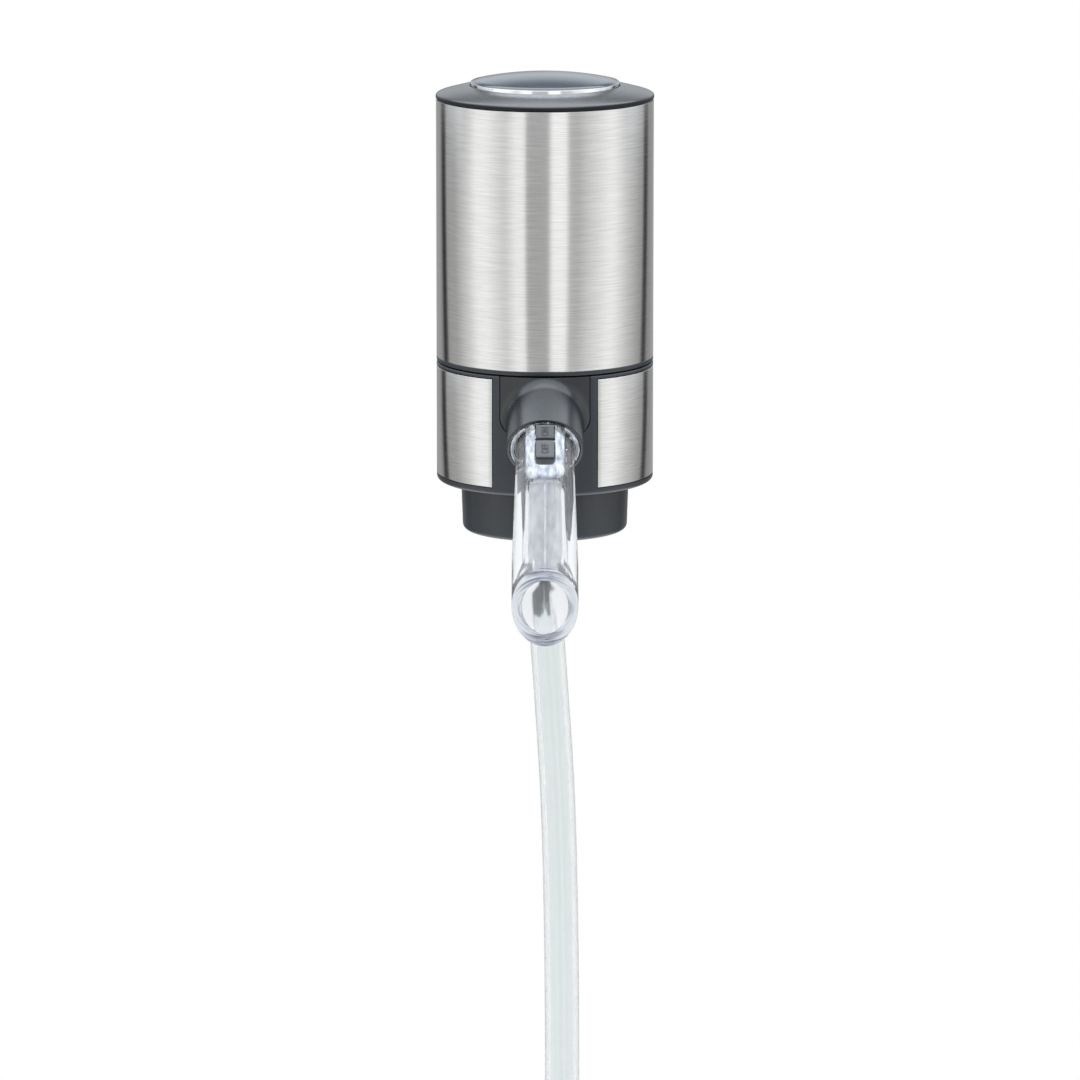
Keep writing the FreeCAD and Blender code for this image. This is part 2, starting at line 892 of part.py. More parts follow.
def flow_manifold():
    start_z, turn, along = elbow_path()
    plate = rod(manifold_r, nozzle_top, elbow_low)
    lobe = box(-2 * nipple_r, 2 * nipple_r, 0, air_line_y, nozzle_top, elbow_low)
    lobe_end = rod(2 * nipple_r, nozzle_top, elbow_low, 0, air_line_y)
    nipple = rod(nipple_r, elbow_low - sunk, elbow_low + manifold_nipple, 0, air_line_y)
    centre = V(0, -elbow_bend, start_z)
    middle = centre + V(0, elbow_bend * math.cos(turn / 2), elbow_bend * math.sin(turn / 2))
    end = centre + V(0, elbow_bend * math.cos(turn), elbow_bend * math.sin(turn))
    seat_at = -socket_depth - socket_floor
    seat = rim + heading(boss_fall) * seat_at
    edges = [
        Part.LineSegment(V(0, 0, nozzle_top), V(0, 0, start_z)).toShape(),
        Part.Arc(V(0, 0, start_z), middle, end).toShape(),
        Part.LineSegment(end, seat).toShape(),
    ]
    path = Part.Wire(edges)
    pipe = swept(path, elbow_r, V(0, 0, nozzle_top), V(0, 0, 1))
    bore = swept(path, wine_bore_r, V(0, 0, nozzle_top), V(0, 0, 1))
    flange = on_boss(rod(elbow_flange_r, seat_at - elbow_flange, seat_at))
    cross_z = nozzle_top + manifold_plate / 2
    cross_length = air_line_y - air_bore_out
    air_up = rod(nipple_bore_r, nozzle_top - past, cross_z, 0, air_bore_out)
    air_across = Part.makeCylinder(cross_bore_r, cross_length, V(0, air_bore_out, cross_z), V(0, 1, 0))
    air_out = rod(nipple_bore_r, cross_z, elbow_low + manifold_nipple + past, 0, air_line_y)
    body = fused([plate, lobe, lobe_end, nipple, pipe, flange])
    return bored(body, [bore, air_up, air_across, air_out])


def air_line_heights():
    low = elbow_low + manifold_nipple
    valve_low = low + valve_nipple
    valve_high = valve_low + valve_height
    return low, valve_low, valve_high


def air_check_valve():
    low, valve_low, valve_high = air_line_heights()
    body = rod(valve_r, valve_low, valve_high, 0, air_line_y)
    stem = rod(nipple_r, low, valve_high + valve_nipple, 0, air_line_y)
    bore = rod(nipple_bore_r, low - past, valve_high + valve_nipple + past, 0, air_line_y)
    return fused([body, stem]).cut(bore)


def air_hoses():
    low, valve_low, valve_high = air_line_heights()
    lower = ring(hose_r, nipple_r, elbow_low, valve_low, 0, air_line_y)
    upper = ring(hose_r, nipple_r, valve_high, deck_low, 0, air_line_y)
    return Part.makeCompound([lower, upper])


def socket_seal():
    return on_boss(ring(socket_r - running_gap, wine_bore_r, -socket_depth, seal_thick - socket_depth))


# Batteries

def cell_angles():
    return [first_cell_angle + 360 / cell_count * k for k in range(cell_count)]


def cell_span(index):
    # Even cells stand on their spring, and odd ones hang from theirs.
    if index % 2 == 0:
        return cell_floor + contact_plate + contact_spring, True
    return cell_floor + contact_plate + nub_height, False


def battery(index):
    low, nub_up = cell_span(index)
    x, y = polar(cell_ring, cell_angles()[index])
    can = rod(cell_r, low, low + cell_length, x, y)
    if nub_up:
        return can.fuse(rod(nub_r, low + cell_length, low + cell_length + nub_height, x, y))
    return can.fuse(rod(nub_r, low - nub_height, low, x, y))


def contact_shape(indexes, low, grow):
    places = [polar(cell_ring, cell_angles()[i]) for i in indexes]
    discs = [rod(contact_r + grow, low, low + contact_plate, x, y) for x, y in places]
    if len(places) == 1:
        return discs[0]
    start = V(*places[0], low)
    end = V(*places[1], low)
    length = start.distanceToPoint(end)
    strap = Part.makeBox(length, contact_strap + 2 * grow, contact_plate, V(0, -contact_strap / 2 - grow, 0))
    strap.rotate(V(0, 0, 0), V(0, 0, 1), math.degrees(math.atan2(end.y - start.y, end.x - start.x)))
    strap.translate(start)
    return fused(discs + [strap])


def upper_contact_shapes(grow):
    low = cell_floor + cell_bay - contact_plate
    return [contact_shape((k, k + 1), low, grow) for k in range(0, cell_count, 2)]


def lower_contact_shapes(grow):
    bridges = [contact_shape((k, k + 1), cell_floor, grow) for k in range(1, cell_count - 1, 2)]
    ends = [contact_shape((k,), cell_floor, grow) for k in (0, cell_count - 1)]
    return bridges + ends


def contact_springs():
    coils = []
    inner = contact_spring_r - contact_spring_wall
    for index in range(cell_count):
        x, y = polar(cell_ring, cell_angles()[index])
        low, nub_up = cell_span(index)
        start = low - contact_spring if nub_up else low + cell_length
        coils.append(ring(contact_spring_r, inner, start, start + contact_spring, x, y))
    return Part.makeCompound(coils)


def lead_places():
    # Both battery leads climb between the first and the last cell.
    x, y = polar(lead_ring, lead_angle)
    return [(x, y - lead_spread), (x, y + lead_spread)]


def battery_holder():
    foot = rod(core_r, deck_top, cell_floor)
    core = rod(core_r, cell_floor, cell_floor + cell_bay)
    head = rod(core_r, cell_floor + cell_bay, holder_top)
    pocket_r = cell_r + cell_gap
    pockets = []
    for angle in cell_angles():
        well = rod(pocket_r, cell_floor, cell_floor + cell_bay, cell_ring)
        door = box(cell_ring, cell_ring + body_r, -pocket_r, pocket_r, cell_floor, cell_floor + cell_bay)
        pockets.append(spun(well.fuse(door), angle))
    pillars = [rod(pillar_r, holder_top - sunk, board_low, *polar(pillar_ring, a)) for a in pillar_angles]
    pilots = [rod(screw_r, holder_top, board_low + past, *polar(pillar_ring, a)) for a in pillar_angles]
    bore = rod(holder_bore_r, deck_top - past, holder_top + past)
    channel_r = lead_r + lead_channel_gap
    channels = [rod(channel_r, cell_floor - past, holder_top + past, x, y) for x, y in lead_places()]
    foot_pilots = [rod(screw_r, deck_top - past, deck_top + core_screw_bite, *polar(cell_ring, a))
                   for a in holder_screw_angles]
    straps = upper_contact_shapes(cell_gap) + lower_contact_shapes(cell_gap)
    body = fused([foot, core, head] + pillars)
    return bored(body, pockets + [bore] + straps + pilots + channels + foot_pilots)


def battery_leads():
    return Part.makeCompound([rod(lead_r, cell_floor, board_low, x, y) for x, y in lead_places()])


# Circuit board

def circuit_board():
    board = rod(board_r, board_low, board_top)
    holes = [rod(screw_r, board_low - past, board_top + past, *polar(pillar_ring, a)) for a in pillar_angles]
    return bored(board, holes)


def board_parts():
    blocks = [box(*place, board_top, board_top + height) for *place, height in board_blocks]
    capacitor = rod(capacitor_r, board_low - capacitor_height, board_low, capacitor_x, capacitor_y)
    return Part.makeCompound(blocks + [capacitor])


def board_screws():
    one = screw(board_screw_length)
    return Part.makeCompound([moved(one, *polar(pillar_ring, a), board_top) for a in pillar_angles])


def tact_switch():
    half = tact_width / 2
    housing = box(-half, half, -half, half, board_top, tact_top)
    return housing.cut(rod(tact_stem_r + running_gap, tact_top - 2 * tact_stem_sunk, tact_top + past))


def switch_stem():
    return rod(tact_stem_r, tact_top - tact_stem_sunk, tact_stem_top)


# Pump

def case_screw_places():
    return [polar(case_screw_ring, a) for a in case_screw_angles]


def case_holes(low, high):
    return [rod(case_screw_r, low, high, x, y) for x, y in case_screw_places()]


def pump_head():
    body = rod(pump_r, deck_top, head_top)
    room = rod(pump_r - 2 * pump_wall, deck_top + head_cover, head_top + past)
    nipple_low = deck_low - pump_nipple
    nipple = rod(nipple_r, nipple_low, deck_top + sunk, 0, air_line_y)
    outlet = rod(nipple_bore_r, nipple_low - past, deck_top + head_cover + past, 0, air_line_y)
    pilots = [rod(screw_r, deck_top - past, deck_top + core_screw_bite, x, 0) for x in pump_screw_x]
    holes = [outlet] + pilots + case_holes(deck_top - past, head_top + past)
    return bored(body.cut(room).fuse(nipple), holes)


def valve_plate():
    plate = rod(pump_r, head_top, plate_top)
    ports = [rod(port_r, head_top - past, plate_top + past, *polar(port_ring, a)) for a in port_angles]
    return bored(plate, ports + case_holes(head_top - past, plate_top + past))


def pump_valves():
    flaps = [rod(flap_r, head_top - flap_thick, head_top, *polar(port_ring, a)) for a in port_angles]
    return Part.makeCompound(flaps)


def diaphragm():
    sheet = rod(pump_r, plate_top, sheet_top)
    cups = [rod(cup_r, sheet_top, diaphragm_top, *polar(port_ring, a)) for a in port_angles]
    return bored(fused([sheet] + cups), case_holes(plate_top - past, diaphragm_top + past))


def wobble_plate():
    disc = rod(wobble_r, diaphragm_top, wobble_top)
    return fused([disc, rod(wobble_hub_r, diaphragm_top, wobble_top + wobble_hub)])


def pump_body():
    body = rod(pump_r, sheet_top, motor_low)
    room = rod(pump_r - 2 * pump_wall, sheet_top - past, motor_low - pump_wall)
    shaft_hole = rod(bush_r + running_gap, motor_low - 2 * pump_wall, motor_low + past)
    return bored(body, [room, shaft_hole] + case_holes(sheet_top - past, motor_low - pump_wall))


def pump_case_screws():
    low = deck_top + case_screw_sunk
    high = motor_low - pump_wall - case_screw_tip
    screws = [rod(case_screw_r, low, high, x, y) for x, y in case_screw_places()]
    return Part.makeCompound(screws)


# Motor

def motor_can():
    can = rod(motor_r, motor_low, motor_high)
    room = rod(motor_r - can_wall, motor_low + can_wall, motor_high + past)
    hole = rod(bush_r, motor_low - past, motor_low + can_wall + past)
    return bored(can, [room, hole])


def motor_end_cap():
    cap = rod(motor_r, motor_high, end_cap_top)
    return cap.cut(rod(bush_r, motor_high - past, motor_high + bush_length))


def motor_bushes():
    places = [motor_low - bush_nose, motor_high]
    return Part.makeCompound([ring(bush_r, shaft_r + running_gap, z, z + bush_length) for z in places])


def motor_magnets():
    outer = motor_r - can_wall
    low = motor_low + magnet_rise
    high = motor_low + 2 * armature_rise + armature_length - magnet_rise
    blank = ring(outer, outer - magnet_thick, low, high)
    half_gap = outer * math.sin(math.radians(90 - magnet_span / 2))
    slit = box(-half_gap, half_gap, -motor_r, motor_r, low - past, motor_high)
    return blank.cut(slit)


def motor_armature():
    low = motor_low + armature_rise
    high = low + armature_length
    half = armature_slot / 2
    core = rod(motor_r - can_wall - magnet_thick - armature_gap, low, high)
    commutator = rod(commutator_r, high, high + commutator_height)
    slot = box(armature_hub_r, motor_r, -half, half, low - past, high + past)
    slots = [spun(slot, a) for a in armature_slot_angles]
    return bored(fused([bored(core, slots), commutator]), [rod(shaft_r, low - past, motor_high)])


def motor_shaft():
    return rod(shaft_r, eccentric_low + eccentric_floor, motor_high + bush_length - shaft_end_gap)


def eccentric():
    high = eccentric_low + eccentric_height
    body = rod(eccentric_r, eccentric_low, high)
    crank = rod(crank_r, wobble_top + crank_gap, eccentric_low + sunk, crank_offset)
    return fused([body, crank]).cut(rod(shaft_r, eccentric_low + eccentric_floor, high + past))


def motor_leads():
    places = (-motor_lead_x, motor_lead_x)
    return Part.makeCompound([rod(lead_r, end_cap_top, board_low, x, 0) for x in places])


# Spout with its switch

def rounded_plate(half, high, low, under, over, corner):
    # A plate in the pipe's frame: low is its far end down the pipe, with two rounded corners.
    k = corner * corner_share
    wire = wire_of([
        V(-half, under, high),
        V(half, under, high),
        V(half, under, low - corner),
        (V(half - k, under, low - k), V(half - corner, under, low)),
        V(corner - half, under, low),
        (V(k - half, under, low - k), V(-half, under, low - corner)),
    ])
    return Part.Face(wire).extrude(V(0, over - under, 0))


def spout():
    flange = on_boss(rod(flange_r, -flange_depth, flange_proud))
    recess = on_boss(rod(flange_r - flange_lip, flange_proud - flange_recess, flange_proud + past))
    stub = on_boss(rod(stub_r, -flange_depth - stub_length, -flange_depth))
    groove_at = -flange_depth - ring_groove_place
    stub_groove = on_boss(ring(stub_r + past, ring_groove_r, groove_at - ring_groove_width, groove_at))
    neck = on_boss(rod(pipe_top_r, -flange_depth, bend_out))
    ball = Part.makeSphere(pipe_top_r, bend)
    pipe_reach = pipe_length + pipe_end_r * math.tan(math.radians(pipe_fall - mouth_cut_fall)) + past
    tapered = taper(pipe_top_r, pipe_end_r, 0, pipe_full_r_at)
    pipe = on_pipe(tapered.fuse(rod(pipe_end_r, pipe_full_r_at, pipe_reach)))
    block = on_pipe(rounded_plate(block_half, slot_high - past, block_low, 0, block_face, block_corner))
    block = block.common(on_boss(rod(flange_r, flange_proud - flange_recess - sunk, 3 * body_r)))
    body = fused([flange.cut(recess), stub.cut(stub_groove), neck, ball, pipe, block])
    slot = rounded_plate(slot_half, slot_high, slot_low, slot_floor_at, block_face + body_r, slot_corner)
    channel_in = on_boss(rod(channel_r, -flange_depth - stub_length - past, bend_out))
    channel_ball = Part.makeSphere(channel_r, bend)
    channel_down = on_pipe(rod(channel_r, 0, bore_start + past))
    dome_mid = at(bore_r * math.sqrt(0.5), bore_start + bore_dome * (1 - math.sqrt(0.5)))
    bore = turned([
        at(0, bore_start),
        (dome_mid, at(bore_r, bore_start + bore_dome)),
        at(bore_low_r, bore_flare_from),
        at(bore_mouth_r, bore_flare_to),
        at(bore_mouth_r, pipe_reach + past),
        at(0, pipe_reach + past),
    ])
    far = 3 * body_r
    beyond = aimed(box(-far, far, -far, far, 0, far), mouth_cut_fall, mouth)
    pin_hole = pin_shape(rocker_pin_r, rocker_pin_half)
    vent = on_pipe(Part.makeCylinder(vent_hole_r, slot_floor_at, V(0, 0, vent_pad_at), V(0, 1, 0)))
    channel = [channel_in, channel_ball, channel_down]
    return bored(body, channel + [on_pipe(slot), on_pipe(bore), beyond, pin_hole, vent])


def pin_shape(radius, half):
    start = V(-half, rocker_pin_depth, rocker_pin_at)
    return on_pipe(Part.makeCylinder(radius, 2 * half, start, V(1, 0, 0)))


def spout_o_ring():
    middle = -flange_depth - ring_groove_place - ring_groove_width / 2
    return on_boss(Part.makeTorus(ring_groove_r + ring_section, ring_section, V(0, 0, middle)))


def rocker_pin():
    return pin_shape(rocker_pin_r, rocker_pin_half)


def on_off_rocker():
    # The face over ON lies flush at rest, and the face over OFF stands out by the tilt.
    low_face = block_face + (rocker_low - rocker_pin_at) * math.tan(math.radians(rocker_tilt))
    profile = wire_of([
        V(-rocker_half, rocker_under, rocker_high),
        V(-rocker_half, block_face, rocker_high),
        V(-rocker_half, block_face, rocker_pin_at - rocker_groove),
        V(-rocker_half, block_face - rocker_groove, rocker_pin_at),
        V(-rocker_half, block_face, rocker_pin_at + rocker_groove),
        V(-rocker_half, low_face, rocker_low),
        V(-rocker_half, rocker_under, rocker_low),
    ])
    body = Part.Face(profile).extrude(V(2 * rocker_half, 0, 0))
    over = low_face + past
    trim = rounded_plate(rocker_half, rocker_high, rocker_low, rocker_under - past, over, rocker_corner)
    body = on_pipe(body.common(trim))
    return body.cut(pin_shape(rocker_pin_r + running_gap, rocker_half + past))


def vent_pad():
    low = slot_floor_at + vent_pad_gap
    return on_pipe(Part.makeCylinder(vent_pad_r, rocker_under - low, V(0, low, vent_pad_at), V(0, 1, 0)))


PIECES = [
    steel_sleeve, cover_liner, top_cap, cap_screws, power_button, button_trim, button_spring,
    base_shell, base_band, front_insert, base_deck, deck_screws, base_screws,
    bottle_collar, bottle_plug, lip_seal, tube_nozzle, nozzle_nut, wine_tube,
    flow_manifold, air_check_valve, air_hoses, socket_seal,
    battery_holder, contact_springs, battery_leads, circuit_board, board_parts, board_screws,
    tact_switch, switch_stem, pump_head, valve_plate, pump_valves, diaphragm, wobble_plate, pump_body,
    pump_case_screws, motor_can, motor_end_cap, motor_bushes, motor_magnets, motor_armature, motor_shaft,
    eccentric, motor_leads, spout, spout_o_ring, rocker_pin, on_off_rocker, vent_pad,
]

os.makedirs("parts", exist_ok=True)
for piece in PIECES:
    save(piece.__name__, piece())
for number in range(cell_count):
    save("battery_" + str(number + 1), battery(number))
save("upper_contacts", Part.makeCompound(upper_contact_shapes(0)))
save("lower_contacts", Part.makeCompound(lower_contact_shapes(0)))
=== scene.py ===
import json
import math

import bpy
from mathutils import Matrix, Vector

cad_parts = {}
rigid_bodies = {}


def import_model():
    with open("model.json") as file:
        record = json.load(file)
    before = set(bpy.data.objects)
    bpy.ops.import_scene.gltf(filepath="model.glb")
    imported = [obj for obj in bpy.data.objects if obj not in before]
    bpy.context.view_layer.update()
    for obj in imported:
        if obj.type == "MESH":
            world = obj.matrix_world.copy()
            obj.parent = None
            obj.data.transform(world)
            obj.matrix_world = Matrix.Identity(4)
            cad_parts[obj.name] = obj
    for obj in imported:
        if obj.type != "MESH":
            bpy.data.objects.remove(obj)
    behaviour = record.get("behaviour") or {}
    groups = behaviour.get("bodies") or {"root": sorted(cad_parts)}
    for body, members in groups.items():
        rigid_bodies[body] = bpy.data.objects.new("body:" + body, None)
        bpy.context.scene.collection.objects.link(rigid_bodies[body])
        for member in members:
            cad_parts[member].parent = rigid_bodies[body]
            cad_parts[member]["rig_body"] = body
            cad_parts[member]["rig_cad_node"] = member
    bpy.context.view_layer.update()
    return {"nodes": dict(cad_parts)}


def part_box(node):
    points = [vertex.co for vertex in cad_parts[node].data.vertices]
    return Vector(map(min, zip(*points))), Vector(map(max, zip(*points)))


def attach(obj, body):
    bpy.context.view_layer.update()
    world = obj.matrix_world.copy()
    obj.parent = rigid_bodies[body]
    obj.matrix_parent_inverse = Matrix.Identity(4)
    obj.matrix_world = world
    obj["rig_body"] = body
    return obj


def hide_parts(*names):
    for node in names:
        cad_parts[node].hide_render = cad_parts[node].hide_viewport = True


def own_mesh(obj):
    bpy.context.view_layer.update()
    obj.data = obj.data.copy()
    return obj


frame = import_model()
NODES = frame["nodes"]

MM = 0.001
AROUND = 192

# Sizes of the barrel, in millimetres, as the solids have them.
BODY_R = 28.0
SLEEVE_WALL = 0.5
SLEEVE_LOW = 26.5
SLEEVE_HIGH = 93.2
CAP_TOP = 96.7
BUTTON_R = 18.6
BUTTON_EDGE = 97.6
TRIM_R = 19.1
TRIM_LOW = 95.7
WELL_BOTTOM = 94.1
WELL_R = 19.35
WELL_WALL = 1.85
CAP_R = 28.1
CAP_LOW = 93.5
CAP_EDGE = 94.0
SHOULDER_LOW = 94.85
CAP_UNDER = 92.8
GUIDE_IN = 2.15
GUIDE_OUT = 3.4
GUIDE_TOP = 95.2
POCKET_ROOF = 97.711
SPRING_R = 7.0
WIRE_R = 0.25
SPRING_TURNS = 3
LEG_SLOT_IN = 12.5
LEG_SLOT_OUT = 14.9
LEG_SLOT_HALF = 1.8
SCREW_RING = 24
SCREW_HOLE_R = 0.9
SCREW_HOLE_DEPTH = 1.6

# The frames that the spout is built in: the boss's rim and the pipe's bend.
BOSS_FALL = 30.0
PIPE_FALL = 60.0
RIM = Vector((0.0, -36.0, 8.0))
BEND = Vector((0.0, -37.299, 7.25))
MOUTH = Vector((0.0, -58.149, -28.863))
MOUTH_FALL = 18.5
BORE_START = 8.0
BORE_WALL_R = 5.95
PIPE_MID_R = 6.4
RING_IN = 5.9
RING_OUT = 7.6
# How far the painted reflection streaks round the mouth are drawn out.
PAINTED_RING_GLINTS = 2200

# Camera: the photograph's viewing angle, a long lens a little above the barrel

bpy.ops.object.camera_add(location=(-0.00127, -1.92337, 0.34767), rotation=(math.radians(79.1084), 0, 0))
camera = bpy.context.object
camera.data.lens = 251.33
camera.data.sensor_width = 36.0
camera.data.clip_end = 20.0
bpy.context.scene.camera = camera


# Small helpers for adding, selecting and placing

def deselect():
    bpy.ops.object.select_all(action="DESELECT")


def only(piece):
    deselect()
    piece.select_set(True)
    bpy.context.view_layer.objects.active = piece


def edit(piece):
    only(piece)
    bpy.ops.object.mode_set(mode="EDIT")
    bpy.ops.mesh.select_mode(type="VERT")
    bpy.ops.mesh.select_all(action="DESELECT")


def done():
    bpy.ops.object.mode_set(mode="OBJECT")


def settle(piece):
    # The place goes into the mesh, so that the object stays at the origin.
    only(piece)
    bpy.ops.object.transform_apply(location=True, rotation=True, scale=True)


def place(piece, matrix):
    piece.matrix_world = matrix @ piece.matrix_world
    settle(piece)


def along(point, fall):
    # A frame whose +Z points towards -Y, fall degrees below the horizontal.
    return Matrix.Translation(point * MM) @ Matrix.Rotation(math.radians(90 + fall), 4, "X")


ON_BOSS = along(RIM, BOSS_FALL)
ON_PIPE = along(BEND, PIPE_FALL)


def modify(piece, kind, **settings):
    only(piece)
    modifier = piece.modifiers.new(kind.title(), kind)
    for name, value in settings.items():
        setattr(modifier, name, value)
    bpy.ops.object.modifier_apply(modifier=modifier.name)


def soften(piece, width, segments=2, angle=30):
    modify(piece, "BEVEL", width=width * MM, segments=segments, limit_method="ANGLE",
           angle_limit=math.radians(angle), use_clamp_overlap=True)


def round_edges(piece, width, segments, frame_of, test):
    # Rounds the edges whose two ends pass the test, in millimetres in the given frame.
    back = frame_of.inverted()
    sharp = {}
    for face in piece.data.polygons:
        for key in face.edge_keys:
            sharp.setdefault(key, []).append(face.normal.copy())
    edit(piece)
    bpy.ops.mesh.select_mode(type="EDGE")
    done()
    spots = [back @ vertex.co / MM for vertex in piece.data.vertices]
    for edge in piece.data.edges:
        normals = sharp.get(edge.key, [])
        turn = math.degrees(normals[0].angle(normals[1])) if len(normals) == 2 else 0
        a, b = edge.vertices
        edge.select = turn > 25 and test(spots[a]) and test(spots[b])
    bpy.ops.object.mode_set(mode="EDIT")
    bpy.ops.mesh.bevel(offset=width * MM, segments=segments, affect="EDGES", clamp_overlap=False)
    done()


def smooth(piece, angle=35):
    only(piece)
    bpy.ops.object.shade_smooth_by_angle(angle=math.radians(angle))


def turned(name, outline):
    # A circle is added at the outline's first point, then extruded and resized through the others,
    # and the last ring is joined to the first.
    deselect()
    radius, height = outline[0]
    bpy.ops.mesh.primitive_circle_add(vertices=AROUND, radius=radius * MM, location=(0, 0, height * MM))
    piece = bpy.context.object
    piece.name = name
    settle(piece)
    edit(piece)
    bpy.ops.mesh.select_all(action="SELECT")
    for (r_from, z_from), (r_to, z_to) in zip(outline, outline[1:]):
        bpy.ops.mesh.extrude_region_move(TRANSFORM_OT_translate={"value": (0, 0, (z_to - z_from) * MM)})
        ratio = r_to / r_from
        bpy.ops.transform.resize(value=(ratio, ratio, 1), center_override=(0, 0, 0))
    bpy.ops.mesh.select_all(action="DESELECT")
    bpy.ops.mesh.select_mode(type="EDGE")
    bpy.ops.mesh.select_non_manifold()
    bpy.ops.mesh.bridge_edge_loops()
    bpy.ops.mesh.select_all(action="SELECT")
    bpy.ops.mesh.normals_make_consistent(inside=False)
    done()
    return piece


def block(name, low, high):
    # A box between two corners, in millimetres.
    deselect()
    bpy.ops.mesh.primitive_cube_add(size=1.0)
    piece = bpy.context.object
    piece.name = name
    low, high = Vector(low), Vector(high)
    piece.scale = (high - low) * MM
    piece.location = (high + low) / 2 * MM
    settle(piece)
    return piece


def cut(piece, tools):
    for tool in tools:
        modify(piece, "BOOLEAN", object=tool, operation="DIFFERENCE", solver="EXACT")
        bpy.data.objects.remove(tool)


def round_the_axis(piece, angle):
    place(piece, Matrix.Rotation(math.radians(angle), 4, "Z"))


def peg(name, radius, low, high, x, y, sides=24):
    deselect()
    bpy.ops.mesh.primitive_cylinder_add(vertices=sides, radius=radius * MM, depth=(high - low) * MM,
                                        location=(x * MM, y * MM, (low + high) / 2 * MM))
    piece = bpy.context.object
    piece.name = name
    settle(piece)
    return piece


def from_node(name, node, dissolve=0.3):
    # A copy of a CAD node's triangles, merged, with its flat faces made whole.
    piece = NODES[node].copy()
    piece.data = NODES[node].data.copy()
    piece.name = name
    piece.parent = None
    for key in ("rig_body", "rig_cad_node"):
        if key in piece:
            del piece[key]
    bpy.context.scene.collection.objects.link(piece)
    piece.data.materials.clear()
    edit(piece)
    bpy.ops.mesh.select_all(action="SELECT")
    bpy.ops.mesh.remove_doubles(threshold=0.001 * MM)
    bpy.ops.mesh.dissolve_limited(angle_limit=math.radians(dissolve))
    done()
    return piece


def finish_piece(piece, material, body, nodes):
    piece.data.materials.clear()
    piece.data.materials.append(material)
    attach(piece, body)
    if nodes:
        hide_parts(*nodes)


def second_finish(piece, material, tests):
    # Faces whose corners all pass a test, in millimetres in its frame, take the second material.
    piece.data.materials.append(material)
    for frame_of, test in tests:
        back = frame_of.inverted()
        passes = [test(back @ vertex.co / MM) for vertex in piece.data.vertices]
        for face in piece.data.polygons:
            if all(passes[k] for k in face.vertices):
                face.material_index = len(piece.data.materials) - 1


# Materials

def colour(hex_colour):
    # sRGB hex to the linear colour that a shader takes.
    values = [int(hex_colour[k:k + 2], 16) / 255 for k in (1, 3, 5)]
    return tuple(v / 12.92 if v <= 0.04045 else ((v + 0.055) / 1.055) ** 2.4 for v in values) + (1.0,)


def add(tree, kind, values=None, links=None, **settings):
    node = tree.nodes.new(kind)
    for name, value in settings.items():
        setattr(node, name, value)
    for socket, value in (values or {}).items():
        node.inputs[socket].default_value = value
    for socket, source in (links or {}).items():
        tree.links.new(source, node.inputs[socket])
    return node


def new_material(name, base, **sockets):
    material = bpy.data.materials.new(name)
    material.use_nodes = True
    tree = material.node_tree
    shader = tree.nodes["Principled BSDF"]
    shader.inputs["Base Color"].default_value = colour(base)
    for socket, value in sockets.items():
        shader.inputs[socket.replace("_", " ")].default_value = value
    return material, tree, shader


def object_scaled(tree, x, y, z):
    # Object coordinates times a pattern's repeats per metre along X, Y and Z.
    coords = add(tree, "ShaderNodeTexCoord")
    mapping = add(tree, "ShaderNodeMapping", {"Scale": (x, y, z)}, {"Vector": coords.outputs["Object"]})
    return mapping.outputs["Vector"]


def grained(tree, x, y, z, detail=2.0):
    # An uneven grain over the piece, with its repeats per metre along X, Y and Z.
    grain = add(tree, "ShaderNodeTexNoise", {"Scale": 1.0, "Detail": detail},
                {"Vector": object_scaled(tree, x, y, z)})
    return grain.outputs["Fac"]


def vary_shine(tree, shader, factor, low, high):
    # The middle half of a pattern drives the roughness from low to high.
    shine = add(tree, "ShaderNodeMapRange",
                {"From Min": 0.25, "From Max": 0.75, "To Min": low, "To Max": high}, {"Value": factor})
    tree.links.new(shine.outputs["Result"], shader.inputs["Roughness"])


def emboss(tree, shader, pattern, depth):
    # The pattern stands up to depth metres out of the surface.
    relief = add(tree, "ShaderNodeBump", {"Distance": depth, "Strength": 1.0}, {"Height": pattern})
    tree.links.new(relief.outputs["Normal"], shader.inputs["Normal"])


def vary_colour(tree, shader, factor, low, high):
    ramp = add(tree, "ShaderNodeValToRGB", links={"Fac": factor})
    ramp.color_ramp.elements[0].position = 0.3
    ramp.color_ramp.elements[1].position = 0.7
    ramp.color_ramp.elements[0].color = colour(low)
    ramp.color_ramp.elements[1].color = colour(high)
    tree.links.new(ramp.outputs["Color"], shader.inputs["Base Color"])


def brushed_steel(name, low, high):
    # Stainless 304, brushed round the barrel: sharp bands from side to side, drawn out up and down,
    # with hair-fine lines. The real lines are under 0.1 mm apart, and are drawn here 0.22 mm apart so
    # that they show.
    material, tree, shader = new_material(name, high, Metallic=1.0, Anisotropic=0.75,
                                          Anisotropic_Rotation=0.25)
    lines = grained(tree, 140, 140, 4600, 4.0)
    vary_colour(tree, shader, lines, low, high)
    vary_shine(tree, shader, lines, 0.155, 0.19)
    tangent = add(tree, "ShaderNodeTangent", direction_type="RADIAL", axis="Z")
    tree.links.new(tangent.outputs["Tangent"], shader.inputs["Tangent"])
    emboss(tree, shader, lines, 0.0000012)
    return material


def moulded(name, low, high, roughness, grain, depth, **sockets):
    # ABS from a spark-eroded tool: an even fine grain, a soft broad shine and almost no colour change.
    material, tree, shader = new_material(name, high, IOR=1.54, **sockets)
    fine = grained(tree, grain, grain, grain, 3.0)
    wide = grained(tree, 90, 90, 90)
    vary_colour(tree, shader, wide, low, high)
    vary_shine(tree, shader, fine, roughness - 0.05, roughness + 0.05)
    emboss(tree, shader, fine, depth)
    return material


